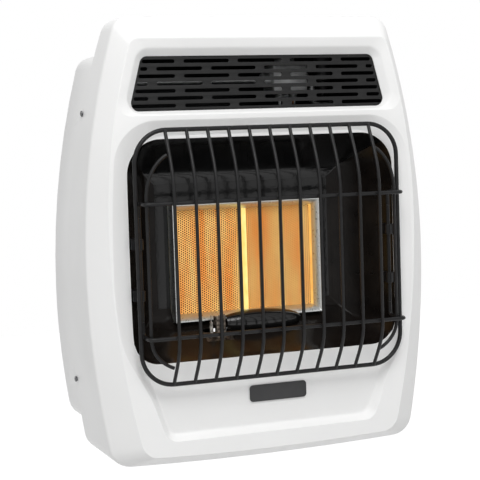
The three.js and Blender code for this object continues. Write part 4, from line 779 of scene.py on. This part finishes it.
guard = {}
corners = []
for k, (sx, sz) in enumerate([(1, 1), (1, -1), (-1, -1), (-1, 1)]):
    cx = sx * (RIM_HALF - RIM_CORNER)
    cz = RIM_TOP - RIM_CORNER if sz > 0 else RIM_BOTTOM + RIM_CORNER
    for i in range(15):
        a = math.pi / 2 - (k + i / 14) * math.pi / 2
        corners.append((cx + RIM_CORNER * math.cos(a), RIM_DEPTH, cz + RIM_CORNER * math.sin(a)))
guard["guard_rim"] = bar("guard_rim_wire", corners, RIM_R, closed=True)
for k in range(UPRIGHTS):
    x = (k - UPRIGHTS // 2) * UPRIGHT_STEP
    bends = bezier(*[(x, y, z) for y, z in BOW_TOP], 18)
    bends += bezier(*[(x, y, z) for y, z in BOW_FOOT], 18)
    o = bar("guard_upright_%02d" % (k + 1), bends, WIRE_R)
    ends = [(x, RIM_DEPTH - 1.6, RIM_TOP - 1.4), (x, RIM_DEPTH - 1.6, RIM_BOTTOM + 1.4)]
    beads(o, ends, (2.3, 2.0, 2.6))
    beads(o, [(x, GUARD_Y + 2.1, z) for z in BAR_ZS], (2.6, 1.5, 2.6))
    guard["guard_wire_%02d" % (k + 1)] = o
for name, z, turn in (("upper", BAR_ZS[0], -1), ("lower", BAR_ZS[1], 1)):
    half = [(HOOP_X, HOOP_Y, z + turn * HOOP_TALL), (HOOP_X, HOOP_Y, z),
            (154.45, -206.5, z), (157, BAR_Y, z)]
    whole = half + [(-x, y, q) for x, y, q in reversed(half)]
    guard["guard_crossbar_" + name] = bar("guard_cross_" + name, rounded(whole, 8), BAR_R)
for s, name in ((-1, "left"), (1, "right")):
    bends = bezier(*[(s * x, y, z) for x, y, z in SIDE_TOP], 16)
    bends += bezier(*[(s * x, y, z) for x, y, z in SIDE_FOOT], 16)
    guard["guard_side_wire_" + name] = bar("guard_side_" + name, bends, WIRE_R)
    run = bar("guard_run_" + name, [(s * HOOP_X, HOOP_Y, z) for z in RUN_ZS], BAR_R)
    for z in CLIP_ZS:
        ear = rod(EAR_R, EAR_TALL, (s * HOOP_X, HOOP_Y, z))
        smooth(modify(ear, "BEVEL", width=0.6 * MM, segments=2), 40)
        arm = block(*sorted((s * ARM_IN, s * ARM_OUT)), ARM_FRONT, ARM_BACK,
                    z - CLIP_HALF, z + CLIP_HALF)
        for v in arm.data.vertices:
            if v.co.y > (ARM_FRONT + ARM_BACK) / 2 * MM:
                outer = abs(v.co.x) > (ARM_IN + ARM_OUT) / 2 * MM
                v.co.x = s * (ARM_OUT_BACK if outer else ARM_IN) * MM
        modify(arm, "BEVEL", width=0.4 * MM, segments=2)
        join(run, (ear, arm))
    guard["guard_side_run_" + name] = run
for o in guard.values():
    report(o)

# %% [markdown]
# ## The dome and the screws
# A smooth egg-shaped dome is pressed over the foot of the burner. It starts as a ball,
# is stretched to its size, and is cut flat where it meets the bright frame.
#
# The four panel screws have a round head with a cross recess. Each faces the side of the
# panel, and its shank goes through the hole in the flange.

# %% Dome and screws
DOME_AT, DOME_SIZE, DOME_BACK, DOME_LEFT = (9, -132.8, -262), (55, 15, 13.5), -133.1, -33.6
HEAD_R, HEAD_THICK, SHANK_R, SHANK_LONG = 3.4, 1.9, 1.85, 9
CROSS_LONG, CROSS_WIDE, CROSS_DEEP = 2.1, 0.55, 0.9
dome = ball(DOME_AT, DOME_SIZE, 64, 40)
dome.name = dome.data.name = "burner_dome_pressing"
cut(dome, block(-60, 80, DOME_BACK, -100, -300, -240))
cut(dome, block(-60, DOME_LEFT, -160, -100, -300, -240))
smooth(dome, 40)
report(dome)

screws = {}
for s, side_name in ((-1, "left"), (1, "right")):
    for z, level_name in zip(SCREW_ZS, ("upper", "lower")):
        x, y = s * (half_width(PANEL, z) + 0.5), flange_back(z) - SCREW_IN
        head = rod(HEAD_R, HEAD_THICK, (x + s * HEAD_THICK / 2, y, z), s * math.pi / 2, sides=40)
        modify(head, "BEVEL", width=0.85 * MM, segments=5, limit_method="ANGLE")
        for wide, tall in ((CROSS_WIDE, CROSS_LONG), (CROSS_LONG, CROSS_WIDE)):
            cut(head, block(*sorted((x + s * CROSS_DEEP, x + s * 3)),
                            y - wide, y + wide, z - tall, z + tall))
        join(head, [rod(SHANK_R, SHANK_LONG, (x - s * 4.4, y, z), math.pi / 2)])
        head.name = head.data.name = "screw_%s_%s" % (side_name, level_name)
        screws["panel_screw_%s_%s" % (side_name, level_name)] = smooth(head, 35)
report(head)

# %% [markdown]
# A small dark plate is fixed to the foot of the dish. On this heater it is left bare. It
# is a flat curve again, with rounded corners and a raised rim that catches the light.

# %% Bare plate
PLATE_X, PLATE_Z, PLATE_CORNER = (-26.5, 44), (-348.5, -329.5), 4


def plate_row(grow, turn=8):
    """the plate's outline with rounded corners, grown by some millimetres"""
    x0, x1 = PLATE_X[0] - grow, PLATE_X[1] + grow
    z0, z1, r = PLATE_Z[0] - grow, PLATE_Z[1] + grow, PLATE_CORNER + grow
    row = []
    for cx, cz, start in ((x1 - r, z1 - r, 90), (x1 - r, z0 + r, 0),
                          (x0 + r, z0 + r, -90), (x0 + r, z1 - r, 180)):
        for k in range(turn + 1):
            a = math.radians(start - 90 * k / turn)
            row.append((cx + r * math.cos(a), cz + r * math.sin(a)))
    return row


badge = flat_plate("bare_plate", [plate_row(0)], -187.8, 1.4, 0.3)
border = flat_plate("plate_border", [plate_row(0.2), plate_row(-1)], -188.1, 1.0, 0.22)
smooth(badge, 40)
smooth(border, 40)
report(badge)

# %% [markdown]
# ## The small hardware
# The other pieces already have their right shape in the CAD model, but their edges are
# perfectly sharp and their round parts are faceted. Nothing real has such edges. Each
# is copied, its loose triangles are merged, its edges get a narrow bevel that will catch
# the light, and gentle angles are shaded round. The bevel is wider on cast and moulded
# parts than on cut sheet.

# %% Softened copies of CAD nodes
def soften_copy(node, bevel, shade):
    """a copy of a CAD node with merged faces and bevelled edges"""
    source = frame["nodes"][node]
    o = bpy.data.objects.new(node + "_made", source.data.copy())
    bpy.context.scene.collection.objects.link(o)
    clean(o)
    bpy.ops.object.mode_set(mode="EDIT")
    bpy.ops.mesh.select_all(action="SELECT")
    bpy.ops.mesh.dissolve_limited(angle_limit=math.radians(0.5))
    bpy.ops.object.mode_set(mode="OBJECT")
    if bevel:
        modify(o, "BEVEL", width=bevel * MM, segments=2, limit_method="ANGLE",
               angle_limit=math.radians(35), use_clamp_overlap=True, harden_normals=False)
    return smooth(o, shade)


BEVELS = {
    "cabinet_shell": 0.3, "back_panel": 0.25, "wall_bracket": 0.3, "plaque_frame": 0.35,
    "burner_box": 0.4, "control_deck": 0.5, "control_knob": 0.35, "igniter_button": 0.6,
    "igniter_body": 0.4, "gas_valve": 0.8, "regulator": 0.8, "inlet_fitting": 0.4,
    "mixing_tube": 0.4, "injector": 0.3, "valve_collar": 0.4, "valve_stem": 0.3,
    "pilot_bracket": 0.25, "pilot_burner": 0.2, "pilot_electrode": 0.15,
    "thermocouple_tip": 0.15, "heat_baffle": 0.3, "wall_spacer_left": 0.5,
    "wall_spacer_right": 0.5, "plaque_left": 0.25, "plaque_right": 0.25,
    "supply_tube": 0, "burner_tube": 0, "pilot_tube": 0, "thermocouple_line": 0,
    "igniter_lead": 0,
}
hardware = {}
for node, bevel in BEVELS.items():
    hardware[node] = soften_copy(node, bevel, shade=62 if bevel == 0 else 38)
faces = sum(len(o.data.polygons) for o in hardware.values())
print("softened", len(hardware), "pieces,", faces, "faces")

# %% [markdown]
# The knob is turned by hand, so its upper part is fluted for the fingers, and a short
# raised line on its top shows where it points. The flutes are thin rods set in a circle
# and cut away all at once. The line is a small pale block let into the top of the knob.

# %% Knob flutes and line
KNOB_X, KNOB_Y, KNOB_TOP = 72, -88, 86.3
FLUTES, FLUTE_R, FLUTE_RING, FLUTE_FOOT, ROD = 24, 1.5, 19.3, 70.5, 30
LINE_HALF, LINE_START, LINE_END = 0.9, 3, 13.5
rods = []
for k in range(FLUTES):
    a = (k + 0.5) / FLUTES * 2 * math.pi
    spot = (KNOB_X + FLUTE_RING * math.cos(a), KNOB_Y + FLUTE_RING * math.sin(a),
            FLUTE_FOOT + ROD / 2)
    rods.append(rod(FLUTE_R, ROD, spot, sides=12))
knob = cut(hardware["control_knob"], join(rods[0], rods[1:]))
pointer = block(KNOB_X - LINE_HALF, KNOB_X + LINE_HALF, KNOB_Y - LINE_END, KNOB_Y - LINE_START,
                KNOB_TOP - 1.2, KNOB_TOP + 0.3)
pointer.name = pointer.data.name = "knob_pointer"
modify(pointer, "BEVEL", width=0.3 * MM, segments=2)
hardware["control_knob"] = smooth(knob, 30)
report(knob)

# %% [markdown]
# ## Finishes
# The white is a baked enamel on steel. It is satin, not glossy: it mirrors nothing but it
# brightens where the panel turns to the lamp. Enamel dries with a very faint orange peel
# about two millimetres across, and its gloss wanders a little over the panel.

# %% White enamel
coat("white_panel", tone=(9, 3, (0.862, 0.862, 0.856), (0.892, 0.892, 0.888)), specular=0.3,
     gloss=(22, 4, 0.33, 0.42), bump=(520, 2, 0.09, 0.0004))
print("white enamel ready")

# %% [markdown]
# The firebox has a glossy black enamel, fired like the glaze of a pot. It mirrors the
# plaques softly and its mirror image wobbles, because the glaze flows before it sets.
# The louver and the guard wear an ordinary satin black paint. Paint on wire is thick and
# soft, so its highlights are broad.

# %% Black enamel and black paints
coat("black_enamel", tone=(40, 3, (0.004, 0.004, 0.0043), (0.0075, 0.0073, 0.0073)), specular=0.35,
     gloss=(30, 4, 0.06, 0.13), bump=(260, 2, 0.1, 0.0006))
coat("black_louver", tone=(60, 4, (0.009, 0.009, 0.0093), (0.014, 0.014, 0.014)), specular=0.22,
     gloss=(90, 3, 0.4, 0.52), bump=(1800, 2, 0.12, 0.0002))
coat("guard_wire", tone=(120, 4, (0.006, 0.006, 0.0065), (0.012, 0.012, 0.0125)), specular=0.22,
     gloss=(150, 3, 0.3, 0.44), bump=(900, 3, 0.12, 0.0002))
print("black finishes ready")

# %% [markdown]
# The bare metals each show how they were made. Zinc-coated sheet has a spangle, a mosaic
# of crystals that are each a slightly different grey. The bright aluminised frame has a
# finer spangle and the faint lines of rolling. Cast alloy is matt and pitted. Brass and
# copper are turned and drawn, with fine lines and a little tarnish.

# %% Bare metals
nt, face = finish("bright_frame", (0.6, 0.61, 0.6), 0.32, 1.0)
lines = grain(nt, 60, 4, (1, 1, 22))
roll = calc(nt, "ADD", cells(nt, 700), lines)
nt.links.new(tint(nt, roll, (0.53, 0.545, 0.535), (0.64, 0.655, 0.645), 0.2, 1.3),
             face.inputs["Base Color"])
nt.links.new(between(nt, roll, 0.24, 0.42, 0.3, 1.4), face.inputs["Roughness"])
relief(nt, face, lines, 0.05, 0.0002)
nt, face = finish("steel", (0.58, 0.59, 0.6), 0.38, 1.0)
spangle = cells(nt, 130)
nt.links.new(tint(nt, spangle, (0.46, 0.47, 0.485), (0.66, 0.67, 0.68), 0.0, 1.0),
             face.inputs["Base Color"])
nt.links.new(between(nt, spangle, 0.3, 0.48, 0.0, 1.0), face.inputs["Roughness"])
relief(nt, face, grain(nt, 500, 3), 0.08, 0.0003)
coat("brass", tone=(110, 4, (0.62, 0.43, 0.18), (0.82, 0.62, 0.3)), metallic=1.0,
     gloss=(200, 3, 0.22, 0.4), bump=(120, 2, 0.15, 0.0002, (1, 1, 18)))
coat("alloy", tone=(90, 5, (0.48, 0.485, 0.49), (0.66, 0.67, 0.675)), metallic=1.0,
     gloss=(160, 4, 0.42, 0.6), bump=(1300, 3, 0.25, 0.0003))
coat("copper", tone=(140, 5, (0.38, 0.19, 0.11), (0.76, 0.43, 0.27)), metallic=1.0,
     gloss=(180, 4, 0.28, 0.5), bump=(700, 2, 0.1, 0.0002))
print("metals ready")

# %% [markdown]
# The knob, the deck and the small fittings are moulded black plastic with a fine spark
# texture, dull in the grain and brighter on its tips. The pilot's electrode is glazed
# porcelain, cream white with a trace of soot.

# %% Plastic and porcelain
coat("black_plastic", tone=(45, 4, (0.017, 0.017, 0.018), (0.025, 0.025, 0.026)),
     gloss=(1400, 2, 0.4, 0.56), bump=(2200, 2, 0.3, 0.0002))
coat("porcelain", tone=(160, 4, (0.62, 0.59, 0.53), (0.84, 0.82, 0.76), 0.2, 0.5),
     gloss=(200, 3, 0.12, 0.3), bump=(400, 2, 0.05, 0.0002))
coat("pale_mark", tone=(300, 3, (0.62, 0.62, 0.6), (0.74, 0.74, 0.72)),
     gloss=(400, 2, 0.42, 0.58))
print("plastic and porcelain ready")

# %% [markdown]
# Some finishes are variations. The parts of the pilot stand in the flame, so their steel
# and porcelain have gone dark, and the enamel beside and under the burner has lost some
# gloss. The panel's screws are dark. The inner side of the sheets gets a dull, nearly black
# finish as painted shade of the dark inside of the cabinet, which is also why the slots of
# the louver look black.

# %% Sooted steel, dark screws and painted inner shade
coat("sooted_steel", metallic=1.0,
     tone=(300, 4, (0.035, 0.028, 0.024), (0.26, 0.22, 0.18), 0.35, 0.75),
     gloss=(260, 3, 0.3, 0.6), bump=(900, 2, 0.2, 0.0002))
coat("heated_enamel", tone=(45, 3, (0.0045, 0.0035, 0.003), (0.011, 0.0085, 0.007)), specular=0.15,
     gloss=(30, 4, 0.14, 0.24), bump=(260, 2, 0.1, 0.0006))
coat("sooted_porcelain", tone=(220, 4, (0.08, 0.07, 0.06), (0.5, 0.47, 0.42), 0.35, 0.65),
     gloss=(200, 3, 0.2, 0.45), bump=(400, 2, 0.08, 0.0002))
# the panel's screws are given a dark finish
coat("dark_screw", tone=(400, 3, (0.09, 0.09, 0.095), (0.2, 0.2, 0.205)), metallic=1.0,
     gloss=(500, 3, 0.28, 0.48), bump=(1500, 2, 0.1, 0.0002))
# painted shade: a dull, nearly black finish for inner sides, where the inside of the cabinet is in
# shade
coat("painted_inner_shade", tone=(30, 4, (0.012, 0.012, 0.0125), (0.026, 0.026, 0.027)), specular=0.12,
     gloss=(60, 3, 0.7, 0.9), bump=(900, 3, 0.15, 0.0003))

# %% [markdown]
# ## The glowing plaques
# A plaque is a ceramic tile with thousands of fine holes. Gas burns in the skin of the
# tile, which glows orange, and each hole stays darker. To model every hole would take
# millions of faces, so the holes are drawn by distance: two plain grids, one shifted
# by half a step, together make the staggered rows, and the nearest hole's distance says
# how dark a point is. The glow is uneven, with paler and redder bands, and dimmer near the
# top edge. A bright yellow strip beside the bar between the tiles is a painted glow.

# %% Glowing ceramic
nt, face = finish("plaque_ceramic", (0.06, 0.035, 0.02), 0.9)
HOLE_X, HOLE_Z = 4.9, 2.8


def hole_distance(shift):
    """distance in millimetres to the nearest hole of one of the two patterns"""
    at = place(nt, (1 / (HOLE_X * MM), 0, 1 / (HOLE_Z * MM)), (shift, 0, shift))
    part = add(nt, "VectorMath", {0: at}, operation="FRACTION").outputs[0]
    middle = add(nt, "VectorMath", {0: part, 1: (0.5, 0, 0.5)}, operation="SUBTRACT").outputs[0]
    real = add(nt, "VectorMath", {0: middle, 1: (HOLE_X, 0, HOLE_Z)}, operation="MULTIPLY")
    real = real.outputs[0]
    return add(nt, "VectorMath", {0: real}, operation="LENGTH").outputs["Value"]


near = calc(nt, "MINIMUM", hole_distance(0), hole_distance(0.5))
skin = between(nt, near, 0.0, 1.0, 0.8, 1.05)
spot = add(nt, "SeparateXYZ", {0: place(nt)})
band = grain(nt, 70, 3, (1, 1, 0.12))
patch = grain(nt, 260, 3)
warm = tint(nt, band, (0.95, 0.32, 0.045), (1.0, 0.68, 0.22), 0.36, 0.66)
cell = add(nt, "Mix", {0: skin, 6: (0.1, 0.022, 0.002, 1), 7: warm}, data_type="RGBA")
clay = tint(nt, skin, (0.01, 0.005, 0.002), (0.17, 0.085, 0.035), 0.0, 1.0)
nt.links.new(clay, face.inputs["Base Color"])
# painted glow: a bright yellow strip on the ceramic beside the bar between the tiles
painted_strip = between(nt, calc(nt, "ABSOLUTE", spot.outputs[0]), 1.0, 0.0, 0.0012, 0.0042)
glow = add(nt, "Mix", {0: painted_strip, 6: cell.outputs[2], 7: (1.0, 0.8, 0.24, 1)}, data_type="RGBA")
# dimmer towards the top edge of the plaques
top_edge = between(nt, spot.outputs[2], 1.0, 0.45, -0.139, -0.124)
power = calc(nt, "MULTIPLY", top_edge, between(nt, patch, 0.8, 1.02))
nt.links.new(glow.outputs[2], face.inputs["Emission Color"])
nt.links.new(power, face.inputs["Emission Strength"])
relief(nt, face, skin, 0.4, 0.0006)


def painted_glow(name, dark, light, strength):
    """a finish that gives off its own light, for a painted glow on a part that is no lamp"""
    nt, face = finish(name, (0.3, 0.2, 0.08), 0.5)
    nt.links.new(tint(nt, grain(nt, 90, 3), dark, light), face.inputs["Emission Color"])
    face.inputs["Emission Strength"].default_value = strength


# painted glow: the bar between the plaques gives off a yellow light of its own
painted_glow("painted_glow_bar", (0.95, 0.66, 0.16), (1.0, 0.86, 0.32), 1.0)
# painted light: an orange glow that stands in for the plaque lighting the frame's wall
painted_glow("painted_plaque_light", (0.8, 0.34, 0.06), (1.0, 0.6, 0.14), 0.85)
print("ceramic ready, nodes:", len(nt.nodes))

# %% [markdown]
# ## Dressing the nodes
# Every CAD node takes the finish of its slot, so none is left bare even if a copy is
# missing. Each modelled piece then hides the node it stands for, if any, and is hung on a
# body, so that the knob, its spring collar and the igniter still move.

# %% Finishes and bodies
record = frame["record"]
node_slot = {s["node"]: s["material_slot"] for s in record["subparts"]}
bodies = {n: b for b, nodes in record["behaviour"]["bodies"].items() for n in nodes}
for n, o in frame["nodes"].items():
    o.data.materials.clear()
    o.data.materials.append(finishes[node_slot[n]])


def dress(o, slot, node=None, body="heater", look=None):
    """gives a piece its finish and its body, and hides the node it stands for"""
    if not o.data.materials:
        o.data.materials.append(None)
    o.data.materials[0] = finishes[look or slot]
    if node:
        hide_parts(node)
        body = bodies[node]
    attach(o, body)


FLANGE_FRONT = -176  # behind this depth both sides of the panel are white
dress(panel, "white_panel", "front_panel")
# painted shade on the panel's inner side, except on the flange
panel.data.materials[1] = finishes["painted_inner_shade"]
for p in panel.data.polygons:
    if p.center.y > FLANGE_FRONT * MM:
        p.material_index = 0
dress(louver, "black_louver", "louver_grille")
dress(dome, "black_enamel", "burner_dome")
# the heat baffle inside the cabinet takes the painted inner shade
looks = {"firebox_bottom": "heated_enamel", "firebox_left": "heated_enamel",
         "firebox_right": "heated_enamel", "pilot_bracket": "sooted_steel",
         "pilot_burner": "sooted_steel", "thermocouple_tip": "sooted_steel",
         "pilot_electrode": "sooted_porcelain", "heat_baffle": "painted_inner_shade",
         **{n: "dark_screw" for n in screws}}
for n, o in firebox.items():
    dress(o, "black_enamel", "firebox_" + n, look=looks.get("firebox_" + n))
for n, o in list(guard.items()) + list(screws.items()) + list(hardware.items()):
    dress(o, node_slot[n], n, look=looks.get(n))
dress(badge, "black_plastic")
dress(border, "black_plastic")
dress(pointer, "black_plastic", body="knob", look="pale_mark")
print("pieces dressed:", 6 + len(firebox) + len(guard) + len(screws) + len(hardware))

# %% [markdown]
# Some faces of a piece look different from the rest. The thin bar between the two plaques
# has a painted glow, a yellow light of its own, and the right-hand wall of the bright frame
# has painted light, an orange glow for the light of the plaque beside it. The inner sides of
# the cabinet, and the outer sides of the firebox that are hidden in it, get a dark painted
# shade. Such faces are found by their place and by the way they face.

# %% Faces with a look of their own
def paint(o, look, test):
    """gives the faces that pass the test another finish"""
    o.data.materials.append(finishes[look])
    chosen = [p for p in o.data.polygons if test(p.center / MM, p.normal)]
    for p in chosen:
        p.material_index = len(o.data.materials) - 1
    print(o.name, look, len(chosen), "faces")


# painted glow on the bar between the plaques
paint(hardware["plaque_frame"], "painted_glow_bar",
      lambda c, n: abs(c.x) < 1.6 and -248 < c.z < -129)
# painted light: the frame's right-hand wall glows orange where the plaque beside it lights it
paint(hardware["plaque_frame"], "painted_plaque_light",
      lambda c, n: 80 < c.x < 90 and n.x < -0.6 and c.y > -124 and -252 < c.z < -126)
# painted shade on hidden faces: the back panel's inner side and the firebox's outer sides
paint(hardware["back_panel"], "painted_inner_shade", lambda c, n: n.y < -0.5)
for name, away in OUTWARD.items():
    paint(firebox[name], "painted_inner_shade", lambda c, n, away=Vector(away): n.dot(away) > 0.15)
CABINET_HALF, CABINET_TALL, CABINET_MIDDLE, CABINET_BACK = 205, 219, -161, -10.5


def faces_in(c, n):
    """whether a face of the cabinet looks towards the cabinet's middle"""
    inwards = Vector((-c.x / CABINET_HALF, 0, (CABINET_MIDDLE - c.z) / CABINET_TALL))
    return c.y < CABINET_BACK and n.dot(inwards) > 0.35


# painted shade on the inner faces of the cabinet
paint(hardware["cabinet_shell"], "painted_inner_shade", faces_in)
